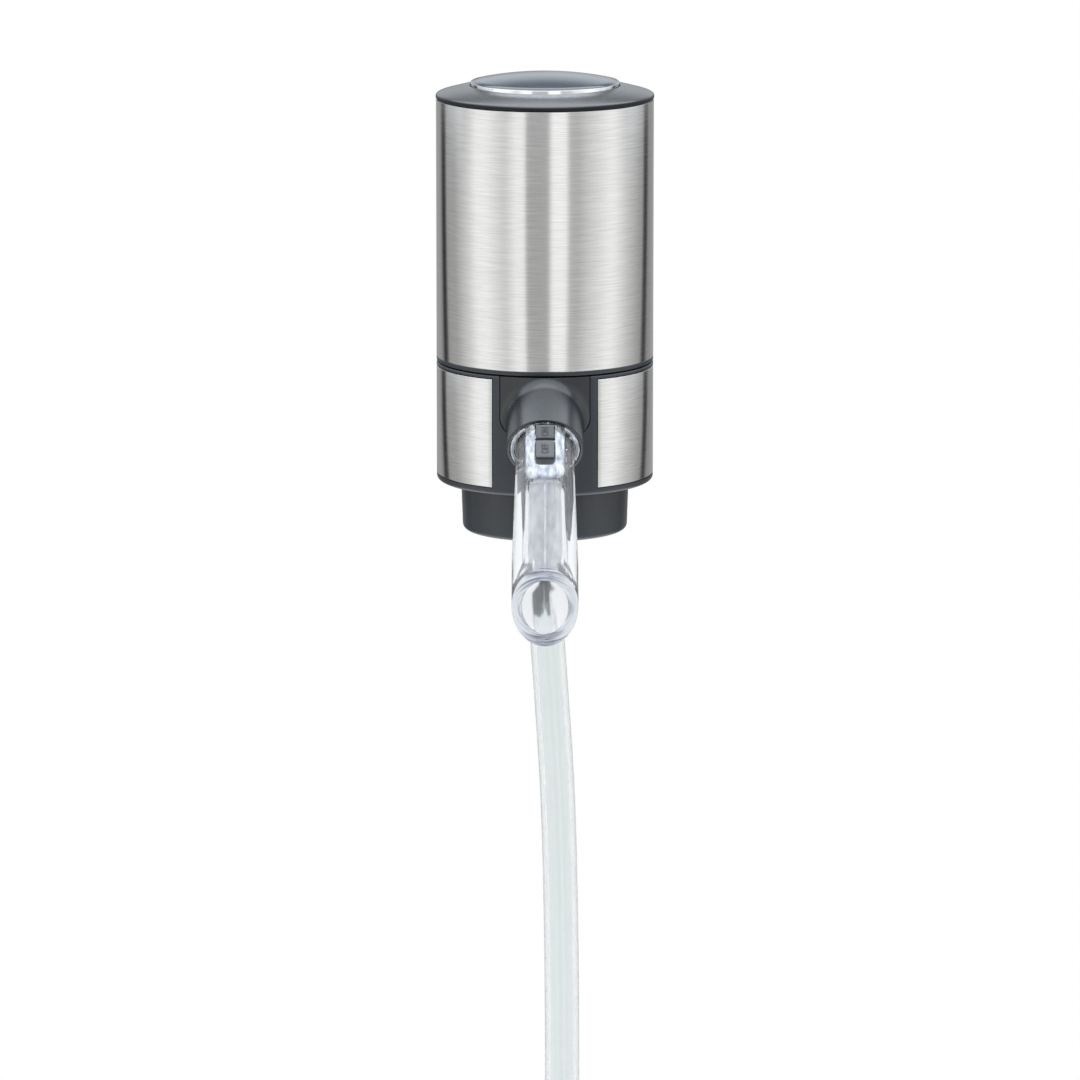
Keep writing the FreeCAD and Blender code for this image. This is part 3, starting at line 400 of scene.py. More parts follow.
def clear_moulding(name, base, ior, roughness, ripple, clearness):
    # A polished clear moulding: see-through, bright at its rounded edges, with a faint flow ripple.
    # What isn't clear is milky: the haze of the resin, or the satin of a cut or frosted face.
    material, tree, shader = new_material(name, base, IOR=ior, Roughness=roughness)
    shader.inputs["Transmission Weight"].default_value = clearness
    flow = grained(tree, 260, 260, 120)
    emboss(tree, shader, flow, ripple)
    return material


def painted_reflection_streaks(material, low, high, across, along_pipe):
    # Painted reflections: short streaks of bluish and white colour, standing in for the light that a cut or
    # frosted face catches.
    tree = material.node_tree
    painted_glints = grained(tree, across, along_pipe, along_pipe, 3.0)
    vary_colour(tree, tree.nodes["Principled BSDF"], painted_glints, low, high)


def in_frame(tree, point, fall):
    # Coordinates in a frame whose +Z points towards -Y, fall degrees down, and the distance from its line.
    coords = add(tree, "ShaderNodeTexCoord")
    upright = add(tree, "ShaderNodeMapping",
                  {"Location": tuple(point * MM), "Rotation": (math.radians(90 + fall), 0, 0)},
                  {"Vector": coords.outputs["Object"]}, vector_type="TEXTURE")
    split = add(tree, "ShaderNodeSeparateXYZ", links={"Vector": upright.outputs["Vector"]})
    flat = add(tree, "ShaderNodeVectorMath", {1: (1.0, 1.0, 0.0)}, {0: upright.outputs["Vector"]},
               operation="MULTIPLY")
    reach = add(tree, "ShaderNodeVectorMath", links={0: flat.outputs["Vector"]}, operation="LENGTH")
    return split, reach.outputs["Value"]


def painted_ring_reflections(material, low, high):
    # The cut mouth, with painted reflections: streaks that run round it, and painted shade that makes it
    # bluish towards the opening and white towards the outside.
    tree = material.node_tree
    split, reach = in_frame(tree, MOUTH, MOUTH_FALL)
    angle = add(tree, "ShaderNodeMath", links={0: split.outputs["X"], 1: split.outputs["Y"]},
                operation="ARCTAN2")
    stretched = add(tree, "ShaderNodeMath", {1: PAINTED_RING_GLINTS}, {0: reach}, operation="MULTIPLY")
    round_it = add(tree, "ShaderNodeCombineXYZ", links={"X": angle.outputs[0], "Y": stretched.outputs[0]})
    painted_glints = add(tree, "ShaderNodeTexNoise", {"Scale": 1.0, "Detail": 3.0},
                  {"Vector": round_it.outputs["Vector"]})
    # Painted shade: darker and bluish towards the opening.
    painted_shade_inward = add(tree, "ShaderNodeMapRange",
                  {"From Min": RING_IN * MM, "From Max": RING_OUT * MM, "To Min": -0.22, "To Max": 0.06},
                  {"Value": reach})
    # Painted light: its sides are lighter than its top and bottom.
    across = add(tree, "ShaderNodeMath", links={0: split.outputs["X"]}, operation="ABSOLUTE")
    share = add(tree, "ShaderNodeMath", links={0: across.outputs[0], 1: reach}, operation="DIVIDE")
    sides = add(tree, "ShaderNodeMapRange",
                {"From Min": 0.2, "From Max": 0.9, "To Min": -0.12, "To Max": 0.22},
                {"Value": share.outputs[0]})
    both = add(tree, "ShaderNodeMath", links={0: painted_glints.outputs["Fac"], 1: painted_shade_inward.outputs["Result"]},
               operation="ADD")
    total = add(tree, "ShaderNodeMath", links={0: both.outputs[0], 1: sides.outputs["Result"]},
                operation="ADD")
    vary_colour(tree, tree.nodes["Principled BSDF"], total.outputs[0], low, high)


def frosted_bore(material):
    # The spout's core leaves a frosted bore, milky to the eye, inside the polished pipe.
    # The pipe's frame is turned upright, so the distance from its line tells the bore from the outside.
    tree = material.node_tree
    split, reach = in_frame(tree, BEND, PIPE_FALL)
    inside = add(tree, "ShaderNodeMapRange", {"From Min": PIPE_MID_R * MM, "From Max": BORE_WALL_R * MM},
                 {"Value": reach})
    below = add(tree, "ShaderNodeMapRange",
                {"From Min": (BORE_START - 0.4) * MM, "From Max": BORE_START * MM},
                {"Value": split.outputs["Z"]})
    both = add(tree, "ShaderNodeMath", links={0: inside.outputs["Result"], 1: below.outputs["Result"]},
               operation="MULTIPLY")
    rough = add(tree, "ShaderNodeMapRange", {"To Min": 0.02, "To Max": 0.12}, {"Value": both.outputs[0]})
    tree.links.new(rough.outputs["Result"], tree.nodes["Principled BSDF"].inputs["Roughness"])


def plated(name, low, high, roughness):
    # Bright metal with faint wear: the shine changes a little from place to place.
    material, tree, shader = new_material(name, high, Metallic=1.0)
    patches = grained(tree, 900, 900, 900, 3.0)
    vary_colour(tree, shader, patches, low, high)
    vary_shine(tree, shader, patches, roughness, roughness + 0.08)
    return material


def rubbery(name, low, high):
    # Silicone rubber: dull, dark, a little dusty, with a soft edge light.
    material, tree, shader = new_material(name, high, IOR=1.43)
    shader.inputs["Sheen Weight"].default_value = 0.15
    dust = grained(tree, 500, 500, 500, 4.0)
    vary_colour(tree, shader, dust, low, high)
    vary_shine(tree, shader, dust, 0.6, 0.75)
    emboss(tree, shader, dust, 0.00001)
    return material


STEEL = brushed_steel("brushed_304_steel", "#c7c7c6", "#d8d8d6")
CHARCOAL = moulded("charcoal_abs", "#171d23", "#1a2026", 0.36, 3500, 0.000006)
CAP_CHARCOAL = moulded("cap_charcoal_abs", "#0b0e11", "#0d1114", 0.24, 3500, 0.00001,
                       Specular_IOR_Level=0.48)
# Painted shade: a duller, darker copy of the cap's plastic for its rim.
CAP_RIM_SHADE = moulded("cap_rim_painted_shade", "#0b0d0f", "#0d0f11", 0.35, 3500, 0.000003,
                       Specular_IOR_Level=0.2)
SMOOTH_CHARCOAL = moulded("smooth_charcoal_abs", "#0f1317", "#12171b", 0.28, 3500, 0.000002,
                          Specular_IOR_Level=0.55)
BUTTON = moulded("satin_button_abs", "#1f2830", "#232c34", 0.13, 3000, 0.000002)
SWITCH = moulded("grey_switch_abs", "#3f4143", "#444648", 0.42, 3000, 0.000006)
LETTER_INK = moulded("dark_letter_ink", "#1d1f22", "#25282b", 0.5, 3000, 0.000004)
CHROME = plated("chrome_trim", "#e2e3e4", "#f0f1f2", 0.05)
CLEAR = clear_moulding("clear_styrene", "#f6f8fa", 1.5, 0.02, 0.00002, 0.93)
SATIN = clear_moulding("satin_styrene_edge_painted_glints", "#fdfdfc", 1.5, 0.12, 0.0001, 0.25)
CUT = clear_moulding("cut_styrene_mouth_painted_glints", "#f6f8fc", 1.5, 0.08, 0.0004, 0.5)
FROST = clear_moulding("frosted_styrene_core_painted_glints", "#fbfcff", 1.5, 0.4, 0.00002, 0.28)
frosted_bore(CLEAR)
# Painted reflections: streaks of bluish and white colour on the satin and frosted faces, and round the cut
# mouth with painted light and shade.
painted_reflection_streaks(SATIN, "#7f8896", "#e0e3e7", 900, 450)
painted_reflection_streaks(FROST, "#b1b6bb", "#e5e7e9", 700, 260)
painted_ring_reflections(CUT, "#55627a", "#f6f8fa")
CLEAR_TUBE = clear_moulding("clear_pvc_tube", "#eef2f2", 1.5, 0.06, 0.00004, 0.95)
SILICONE = rubbery("black_silicone", "#1c1d1e", "#26282a")
# Painted light: a light grey for the slot's floor, standing in for the light that the clear block lets in.
SLOT_LIGHT_PAINT = moulded("slot_floor_painted_light", "#95999e", "#9da1a6", 0.45, 3000, 0.000006)
BLACK_NYLON = moulded("black_nylon", "#1b1c1e", "#222426", 0.5, 2500, 0.00001)
WHITE_NYLON = moulded("white_nylon", "#d6d5ce", "#e2e1da", 0.45, 2500, 0.00001)
SCREW = plated("zinc_screw", "#b9bcbf", "#cbced1", 0.28)
SPRING = plated("spring_wire", "#b2b4b6", "#c6c8ca", 0.22)
NICKEL = plated("nickel_contact", "#cfcabc", "#dedacd", 0.2)
CAN = plated("zinc_plated_can", "#b4b6b8", "#c6c8ca", 0.32)
BRASS = plated("sintered_bronze", "#a97f45", "#bd9355", 0.35)
IRON = plated("stamped_iron", "#7d7a78", "#93908d", 0.4)


def lead_red():
    # PVC insulation: a strong red with a soft gloss.
    material, tree, shader = new_material("red_lead_pvc", "#a51f1d", IOR=1.53, Roughness=0.35)
    patches = grained(tree, 400, 400, 400)
    vary_colour(tree, shader, patches, "#971c1b", "#ad2422")
    return material


def board_green():
    # Glass-epoxy board under solder mask: glossy green, with paler traces 1.3 mm apart.
    material, tree, shader = new_material("solder_mask_green", "#1e5c37", IOR=1.5, Roughness=0.3)
    traces = add(tree, "ShaderNodeTexBrick",
                 {"Scale": 1.0, "Mortar Size": 0.12, "Brick Width": 4.0, "Row Height": 1.0,
                  "Color1": colour("#184e2e"), "Color2": colour("#1b5633"), "Mortar": colour("#2f7a4b")},
                 {"Vector": object_scaled(tree, 770, 770, 770)})
    tree.links.new(traces.outputs["Color"], shader.inputs["Base Color"])
    return material


def cell_label(name, plus_low):
    # A plain foil-wrapped cell: dark sleeve with a copper-coloured band at its plus end, and steel ends.
    material, tree, shader = new_material(name, "#3c4046", Metallic=0.6)
    coords = add(tree, "ShaderNodeTexCoord")
    height = add(tree, "ShaderNodeSeparateXYZ", links={"Vector": coords.outputs["Object"]}).outputs["Z"]
    ramp = add(tree, "ShaderNodeValToRGB")
    span = add(tree, "ShaderNodeMapRange", {"From Min": 0.0285, "From Max": 0.0770}, {"Value": height})
    tree.links.new(span.outputs["Result"], ramp.inputs["Fac"])
    ramp.color_ramp.interpolation = "CONSTANT"
    stops = [(0.0, "#b9bbbd"), (0.03, "#b4713d"), (0.33, "#33373c"), (0.93, "#b9bbbd")]
    if not plus_low:
        stops = [(0.0, "#b9bbbd"), (0.10, "#33373c"), (0.68, "#b4713d"), (0.975, "#b9bbbd")]
    while len(ramp.color_ramp.elements) < len(stops):
        ramp.color_ramp.elements.new(0.5)
    for element, (position, hex_colour) in zip(ramp.color_ramp.elements, stops):
        element.position = position
        element.color = colour(hex_colour)
    tree.links.new(ramp.outputs["Color"], shader.inputs["Base Color"])
    patches = grained(tree, 600, 600, 150)
    vary_shine(tree, shader, patches, 0.25, 0.38)
    return material


RED_LEAD = lead_red()
BOARD = board_green()
# Epoxy-moulded parts: flat black with a fine tooth.
PART_BLACK = moulded("moulded_epoxy", "#161718", "#1d1e20", 0.55, 3000, 0.00001)
# Sintered ferrite: dark grey, dull and grainy.
FERRITE = moulded("sintered_ferrite", "#2f3031", "#3a3b3c", 0.7, 2500, 0.00002)
CELL_UP = cell_label("foil_cell_plus_up", False)
CELL_DOWN = cell_label("foil_cell_plus_down", True)

FINISHES = [
    (SCREW, ["cap_screws", "deck_screws", "base_screws", "board_screws", "pump_case_screws", "rocker_pin"]),
    (SPRING, ["motor_shaft"]),
    (SMOOTH_CHARCOAL, ["front_insert"]),
    (BLACK_NYLON, ["base_deck", "tube_nozzle", "nozzle_nut", "flow_manifold", "battery_holder"]),
    (WHITE_NYLON, ["air_check_valve", "pump_head", "valve_plate", "wobble_plate", "pump_body",
                   "motor_end_cap", "eccentric"]),
    (NICKEL, ["contact_springs", "upper_contacts", "lower_contacts"]),
    (RED_LEAD, ["battery_leads", "motor_leads"]),
    (BOARD, ["circuit_board"]),
    (PART_BLACK, ["board_parts", "tact_switch", "switch_stem"]),
    (CAN, ["motor_can"]),
    (BRASS, ["motor_bushes"]),
    (FERRITE, ["motor_magnets"]),
    (IRON, ["motor_armature"]),
    (CELL_UP, ["battery_1", "battery_3", "battery_5"]),
    (CELL_DOWN, ["battery_2", "battery_4", "battery_6"]),
]
for finish, names in FINISHES:
    for name in names:
        NODES[name].data.materials.clear()
        NODES[name].data.materials.append(finish)


# Wine tube: a hollow clear tube that follows one smooth curve from the nozzle down

TUBE_POINTS = [
    (0.0, 0.0, -26.0),
    (0.0, 0.0, -40.0),
    (1.9, 0.3, -66.0),
    (3.6, 0.5, -93.0),
    (4.5, 0.7, -136.0),
    (4.6, 0.9, -184.0),
    (4.4, 1.0, -232.0),
    (4.7, 0.8, -276.0),
]
TUBE_R = 4.5
TUBE_BORE_R = 3.0


def tube_line():
    curve = bpy.data.curves.new("wine_tube_line", "CURVE")
    curve.dimensions = "3D"
    curve.resolution_u = 12
    spline = curve.splines.new("NURBS")
    spline.points.add(len(TUBE_POINTS) - 1)
    for point, (x, y, z) in zip(spline.points, TUBE_POINTS):
        point.co = (x * MM, y * MM, z * MM, 1.0)
    spline.order_u = 3
    spline.use_endpoint_u = True
    line = bpy.data.objects.new("wine_tube_line", curve)
    bpy.context.scene.collection.objects.link(line)
    bpy.context.view_layer.update()
    mesh = bpy.data.meshes.new_from_object(line)
    points = [vertex.co.copy() for vertex in mesh.vertices]
    bpy.data.objects.remove(line)
    bpy.data.curves.remove(curve)
    bpy.data.meshes.remove(mesh)
    return points


def hollow_tube(name, points, outer, inner, sides=48):
    # Rings across the line: out along the outer wall, over the end and back along the bore.
    deselect()
    rings = []
    last = len(points) - 1
    for k, point in enumerate(points):
        before, after = points[max(k - 1, 0)], points[min(k + 1, last)]
        turn = Vector((0, 0, -1)).rotation_difference(after - before)
        rings.append((point, turn.to_matrix()))
    route = [(ring, outer) for ring in rings] + [(ring, inner) for ring in reversed(rings)]
    vertices = []
    for (point, turn), radius in route:
        for k in range(sides):
            angle = 2 * math.pi * k / sides
            spoke = Vector((radius * MM * math.cos(angle), radius * MM * math.sin(angle), 0.0))
            vertices.append(point + turn @ spoke)
    faces = []
    count = len(route)
    for a in range(count):
        b = (a + 1) % count
        for k in range(sides):
            n = (k + 1) % sides
            faces.append((a * sides + k, a * sides + n, b * sides + n, b * sides + k))
    mesh = bpy.data.meshes.new(name)
    mesh.from_pydata(vertices, [], faces)
    piece = bpy.data.objects.new(name, mesh)
    bpy.context.scene.collection.objects.link(piece)
    edit(piece)
    bpy.ops.mesh.select_all(action="SELECT")
    bpy.ops.mesh.normals_make_consistent(inside=False)
    done()
    return piece


tube_points = tube_line()
wine_tube = hollow_tube("wine_tube_skin", tube_points, TUBE_R, TUBE_BORE_R)
smooth(wine_tube, 40)
finish_piece(wine_tube, CLEAR_TUBE, "base", ["wine_tube"])


# Barrel: sleeve, cover shell, cap, button and trim

sleeve = turned("brushed_sleeve", [
    (BODY_R, SLEEVE_LOW), (BODY_R, SLEEVE_HIGH),
    (BODY_R - SLEEVE_WALL, SLEEVE_HIGH), (BODY_R - SLEEVE_WALL, SLEEVE_LOW)])
soften(sleeve, 0.12)
smooth(sleeve)
finish_piece(sleeve, STEEL, "cover", ["steel_sleeve"])

liner = from_node("cover_shell", "cover_liner")
soften(liner, 0.1, 1)
smooth(liner)
finish_piece(liner, CHARCOAL, "cover", ["cover_liner"])

cap = turned("cap_ring", [
    (WELL_R + WELL_WALL, CAP_LOW), (CAP_R - 0.1, CAP_LOW), (CAP_R, CAP_LOW + 0.1), (CAP_R, CAP_EDGE),
    (CAP_R - 0.07, CAP_EDGE + 0.22), (CAP_R - 0.22, CAP_EDGE + 0.40), (CAP_R - 0.48, CAP_EDGE + 0.54),
    (CAP_R - 0.95, CAP_EDGE + 0.70), (CAP_R - 1.5, SHOULDER_LOW), (WELL_R + 0.3, CAP_TOP - 0.02),
    (WELL_R + 0.1, CAP_TOP - 0.03), (WELL_R, CAP_TOP - 0.15), (WELL_R, WELL_BOTTOM), (GUIDE_OUT, WELL_BOTTOM),
    (GUIDE_OUT, GUIDE_TOP - 0.1), (GUIDE_OUT - 0.1, GUIDE_TOP), (GUIDE_IN + 0.1, GUIDE_TOP),
    (GUIDE_IN, GUIDE_TOP - 0.1), (GUIDE_IN, CAP_UNDER), (WELL_R + WELL_WALL, CAP_UNDER)])
slots = []
for angle in (90, 210, 330):
    slot = block("leg_slot", (LEG_SLOT_IN, -LEG_SLOT_HALF, CAP_UNDER - 1),
                 (LEG_SLOT_OUT, LEG_SLOT_HALF, WELL_BOTTOM + 1))
    round_the_axis(slot, angle)
    slots.append(slot)
for angle in (45, 135, 225, 315):
    x, y = SCREW_RING * math.cos(math.radians(angle)), SCREW_RING * math.sin(math.radians(angle))
    slots.append(peg("cap_screw_hole", SCREW_HOLE_R, CAP_LOW - 1, CAP_LOW + SCREW_HOLE_DEPTH, x, y))
cut(cap, slots)
smooth(cap, 30)
finish_piece(cap, CAP_CHARCOAL, "cover", ["top_cap"])
# Its rim takes a duller, darker copy of the cap's plastic under the textured shoulder: painted shade, for the
# dark band there.
second_finish(cap, CAP_RIM_SHADE, [
    (Matrix(), lambda p: math.hypot(p.x, p.y) > CAP_R - 0.3 and p.z < CAP_EDGE + 0.45)])

button = from_node("domed_button", "power_button")
soften(button, 0.03, 1)
smooth(button)
finish_piece(button, BUTTON, "button", ["power_button"])

# The dome runs on over the ring's top, so the chrome shows on its side alone.
TRIM_FALL = 0.11
trim = turned("chrome_ring", [
    (BUTTON_R, TRIM_LOW), (TRIM_R, TRIM_LOW), (TRIM_R, BUTTON_EDGE - TRIM_FALL - 0.06),
    (TRIM_R - 0.02, BUTTON_EDGE - TRIM_FALL - 0.02), (TRIM_R - 0.06, BUTTON_EDGE - TRIM_FALL),
    (BUTTON_R, BUTTON_EDGE)])
smooth(trim)
finish_piece(trim, CHROME, "button", ["button_trim"])
second_finish(trim, BUTTON, [(Matrix(), lambda p: p.z > BUTTON_EDGE - TRIM_FALL - 0.01)])


def coil(name, radius, wire_r, turns, low, high):
    # One circle of wire, swept up a screw.
    deselect()
    bpy.ops.mesh.primitive_circle_add(vertices=12, radius=wire_r * MM, rotation=(math.radians(90), 0, 0),
                                      location=(radius * MM, 0, (low + wire_r) * MM))
    piece = bpy.context.object
    piece.name = name
    settle(piece)
    rise = (high - low - 2 * wire_r) * MM
    modify(piece, "SCREW", angle=2 * math.pi * turns, screw_offset=rise, iterations=1, steps=48 * turns,
           render_steps=48 * turns, axis="Z", use_merge_vertices=False)
    edit(piece)
    bpy.ops.mesh.select_all(action="SELECT")
    bpy.ops.mesh.fill_holes(sides=0)
    bpy.ops.mesh.normals_make_consistent(inside=False)
    done()
    return piece


spring = coil("button_coil", SPRING_R, WIRE_R, SPRING_TURNS, WELL_BOTTOM, POCKET_ROOF)
smooth(spring)
finish_piece(spring, SPRING, "cover", ["button_spring"])
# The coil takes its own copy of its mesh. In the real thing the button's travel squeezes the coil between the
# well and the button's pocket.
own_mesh(spring)


# Base: shell, steel band, front panel with its boss, and collar

base = from_node("base_drum", "base_shell")
soften(base, 0.12)
smooth(base)
finish_piece(base, CHARCOAL, "base", ["base_shell"])

band = from_node("brushed_band", "base_band")
soften(band, 0.1)
smooth(band)
finish_piece(band, STEEL, "base", ["base_band"])

collar = from_node("neck_collar", "bottle_collar")
soften(collar, 0.2)
smooth(collar)
finish_piece(collar, CHARCOAL, "base", ["bottle_collar"])


# Soft pieces: plug, seals and hoses

for name, node, body, material, slot, round_off in [
        ("ribbed_plug", "bottle_plug", "base", SILICONE, "black_silicone", 0.35),
        ("lip_washer", "lip_seal", "base", SILICONE, "black_silicone", 0.2),
        ("socket_washer", "socket_seal", "base", SILICONE, "black_silicone", 0.15),
        ("vent_plug", "vent_pad", "rocker", SILICONE, "black_silicone", 0.1),
        ("pump_sheet", "diaphragm", "base", SILICONE, "black_silicone", 0.2),
        ("valve_flaps", "pump_valves", "base", SILICONE, "black_silicone", 0.1),
        ("air_hose_pair", "air_hoses", "base", CLEAR_TUBE, "clear_tube", 0.15)]:
    piece = from_node(name, node)
    soften(piece, round_off, 3)
    smooth(piece)
    finish_piece(piece, material, body, [node])

O_RING_R = 5.85
O_RING_THICK_R = 0.65
bpy.ops.mesh.primitive_torus_add(major_segments=96, minor_segments=24, major_radius=O_RING_R * MM,
                                 minor_radius=O_RING_THICK_R * MM)
spout_ring = bpy.context.object
spout_ring.name = "spout_seal_ring"
ring_low, ring_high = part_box("spout_o_ring")
place(spout_ring, Matrix.Translation((Vector(ring_low) + Vector(ring_high)) / 2)
      @ Matrix.Rotation(math.radians(90 + BOSS_FALL), 4, "X"))
smooth(spout_ring, 80)
finish_piece(spout_ring, SILICONE, "spout", ["spout_o_ring"])


# Spout

FLANGE_R = 8.8
FLANGE_FACE = 0.4
LIP_R = 7.9
BLOCK_FACE = 7.7
BLOCK_HALF = 5.0
BLOCK_LOW = 9.5
BLOCK_RIM_END = 6.3
SLOT_HALF = 2.55
SEAT_HALF = 2.45
SEAT_UNDER = 3.1
SEAT_FACE = 3.28
SEAT_HIGH = -1.4
SEAT_LOW = 5.7
PARTING = 0.1
PARTING_RISE = 0.06
PARTING_START = 9.9
OUTER_WALL = 7.2
CHANNEL_R = 2.1
FROST_HALF = 3.3
FROST_R = 6.0
FROST_HEAD_END = 12
FROST_BACK_END = 30.5

spout = from_node("clear_spout", "spout", 0.2)


def near(value, target):
    return abs(value - target) < 0.02


round_edges(spout, 0.38, 4, ON_BOSS,
            lambda p: near(p.z, FLANGE_FACE) and near(math.hypot(p.x, p.y), FLANGE_R))
round_edges(spout, 0.35, 4, ON_BOSS,
            lambda p: near(p.z, FLANGE_FACE) and near(math.hypot(p.x, p.y), LIP_R))
round_edges(spout, 0.9, 5, ON_PIPE,
            lambda p: near(p.y, BLOCK_FACE) and (near(abs(p.x), BLOCK_HALF) or p.z > BLOCK_RIM_END))
round_edges(spout, 0.3, 3, ON_PIPE, lambda p: near(p.y, BLOCK_FACE) and abs(p.x) < SLOT_HALF + 0.02)
ON_MOUTH = along(MOUTH, MOUTH_FALL)
round_edges(spout, 0.45, 4, ON_MOUTH, lambda p: near(p.z, 0))
# The mould's parting line: a hair-fine raised strip down the middle of the pipe, front and back.
for side in (-PARTING, PARTING):
    edit(spout)
    bpy.ops.mesh.select_all(action="SELECT")
    bpy.ops.mesh.bisect(plane_co=(side * MM, 0, 0), plane_no=(1, 0, 0), threshold=1e-6)
    done()
back = ON_PIPE.inverted()
edit(spout)
bpy.ops.mesh.select_mode(type="FACE")
done()
for face in spout.data.polygons:
    spots = [back @ spout.data.vertices[k].co / MM for k in face.vertices]
    face.select = all(abs(p.x) < PARTING + 0.01 and abs(p.y) > OUTER_WALL and p.z > PARTING_START
                      for p in spots)
bpy.ops.object.mode_set(mode="EDIT")
bpy.ops.transform.shrink_fatten(value=PARTING_RISE * MM)
done()
smooth(spout, 30)
finish_piece(spout, CLEAR, "spout", ["spout"])

# Satin: the flange's face round the pipe, and the block's face with its rounded low end.
second_finish(spout, SATIN, [
    (ON_BOSS, lambda p: (-0.02 < p.z < 0.5 and p.y > -3.5
                         and LIP_R - 0.4 < math.hypot(p.x, p.y) < FLANGE_R + 0.1)),
    (ON_PIPE, lambda p: p.y > 7.3 and abs(p.x) < BLOCK_HALF + 0.1 and p.z < BLOCK_LOW + 0.3),
    (ON_PIPE, lambda p: p.y > 6.8 and abs(p.x) < BLOCK_HALF + 0.1 and 5.5 < p.z < BLOCK_LOW + 0.3)])
second_finish(spout, CUT, [(ON_MOUTH, lambda p: p.z > -0.6)])
second_finish(spout, SATIN, [
    (ON_PIPE, lambda p: abs(p.x) < PARTING + 0.01 and p.y > OUTER_WALL and p.z > PARTING_START)])
# Frost: the bore's front and closed end, a strip of its back that the mouth doesn't show, and the channel.
second_finish(spout, FROST, [
    (ON_PIPE, lambda p: (abs(p.x) < FROST_HALF and math.hypot(p.x, p.y) < FROST_R
                         and BORE_START - 0.3 < p.z
                         and (p.y > 1.5 or p.z < FROST_HEAD_END or (p.y < -1.5 and p.z < FROST_BACK_END)))),
    (ON_PIPE, lambda p: math.hypot(p.x, p.y) < CHANNEL_R and p.z > -0.5)])

# A thin liner on the floor of the switch's slot, painted light grey: painted light, for the light that the
# clear block lets into the slot.
slot_light_sheet = block("slot_floor_light_sheet", (-SEAT_HALF, SEAT_UNDER, SEAT_HIGH), (SEAT_HALF, SEAT_FACE, SEAT_LOW))
place(slot_light_sheet, ON_PIPE)
round_edges(slot_light_sheet, 1.0, 6, ON_PIPE, lambda p: p.z > SEAT_LOW - 0.1 and abs(p.x) > SEAT_HALF - 0.05)
smooth(slot_light_sheet, 40)
finish_piece(slot_light_sheet, SLOT_LIGHT_PAINT, "spout", [])


# Rocker: two crowned faces with a groove between them, and raised letters

ROCKER_HALF = 2.35
ROCKER_UNDER = 4.2
ROCKER_FACE = 7.7
ROCKER_HIGH = -4.9
ROCKER_LOW = 4.1
PIN_AT = -0.95
TILT = 10.0
GROOVE = 0.28
CROWN = 0.12
PADDLE_DEPTH = 1.2
BODY_SUNK = 0.75
LETTER_HIGH = 1.9
LETTER_THICK = 0.16
LETTER_LIFT = 0.02


def paddle(name, start, end, slope, corner):
    # One face of the rocker in the pipe's frame: +X across, +Y out of the pipe, +Z down the pipe.
    deselect()
    bpy.ops.mesh.primitive_grid_add(x_subdivisions=12, y_subdivisions=6, size=1.0,
                                    rotation=(math.radians(-90), 0, 0))
    piece = bpy.context.object
    piece.name = name
    piece.scale = (2 * ROCKER_HALF * MM, (end - start) * MM, 1.0)
    piece.location = (0, ROCKER_FACE * MM, (start + end) / 2 * MM)
    settle(piece)
    edit(piece)
    done()
    for vertex in piece.data.vertices:
        x = vertex.co.x / MM / ROCKER_HALF
        down = (vertex.co.z / MM - start)
        vertex.co.y += (CROWN * (1 - x * x) - CROWN + down * math.tan(math.radians(slope))) * MM
    edit(piece)
    bpy.ops.mesh.select_all(action="SELECT")
    bpy.ops.mesh.extrude_region_move(TRANSFORM_OT_translate={"value": (0, -PADDLE_DEPTH * MM, 0)})
    bpy.ops.mesh.select_all(action="SELECT")
    bpy.ops.mesh.normals_make_consistent(inside=False)
    done()
    if corner:
        edit(piece)
        bpy.ops.mesh.select_mode(type="EDGE")
        done()
        for edge in piece.data.edges:
            a, b = (piece.data.vertices[i].co / MM for i in edge.vertices)
            edge.select = (abs(abs(a.x) - ROCKER_HALF) < 0.01 and abs(abs(b.x) - ROCKER_HALF) < 0.01
                           and abs(a.z - end) < 0.01 and abs(b.z - end) < 0.01)
        bpy.ops.object.mode_set(mode="EDIT")
        bpy.ops.mesh.bevel(offset=corner * MM, segments=6, affect="EDGES")
        done()
    soften(piece, 0.22, 3, 50)
    return piece


on_face = paddle("on_face", ROCKER_HIGH, PIN_AT - GROOVE, 0.0, 0.0)
off_face = paddle("off_face", PIN_AT + GROOVE, ROCKER_LOW, TILT, 1.0)

deselect()
bpy.ops.mesh.primitive_cube_add(size=1.0)
rocker = bpy.context.object
rocker.name = "switch_rocker"
rocker.scale = ((2 * ROCKER_HALF - 0.1) * MM, (ROCKER_FACE - BODY_SUNK - ROCKER_UNDER) * MM,
                (ROCKER_LOW - ROCKER_HIGH - 0.9) * MM)
rocker.location = (0, (ROCKER_FACE - BODY_SUNK + ROCKER_UNDER) / 2 * MM,
                   (ROCKER_LOW + ROCKER_HIGH - 0.7) / 2 * MM)
settle(rocker)
soften(rocker, 0.4, 3)
deselect()
for part in (on_face, off_face, rocker):
    part.select_set(True)
bpy.context.view_layer.objects.active = rocker
bpy.ops.object.join()
place(rocker, ON_PIPE)
smooth(rocker, 40)
finish_piece(rocker, SWITCH, "rocker", ["on_off_rocker"])


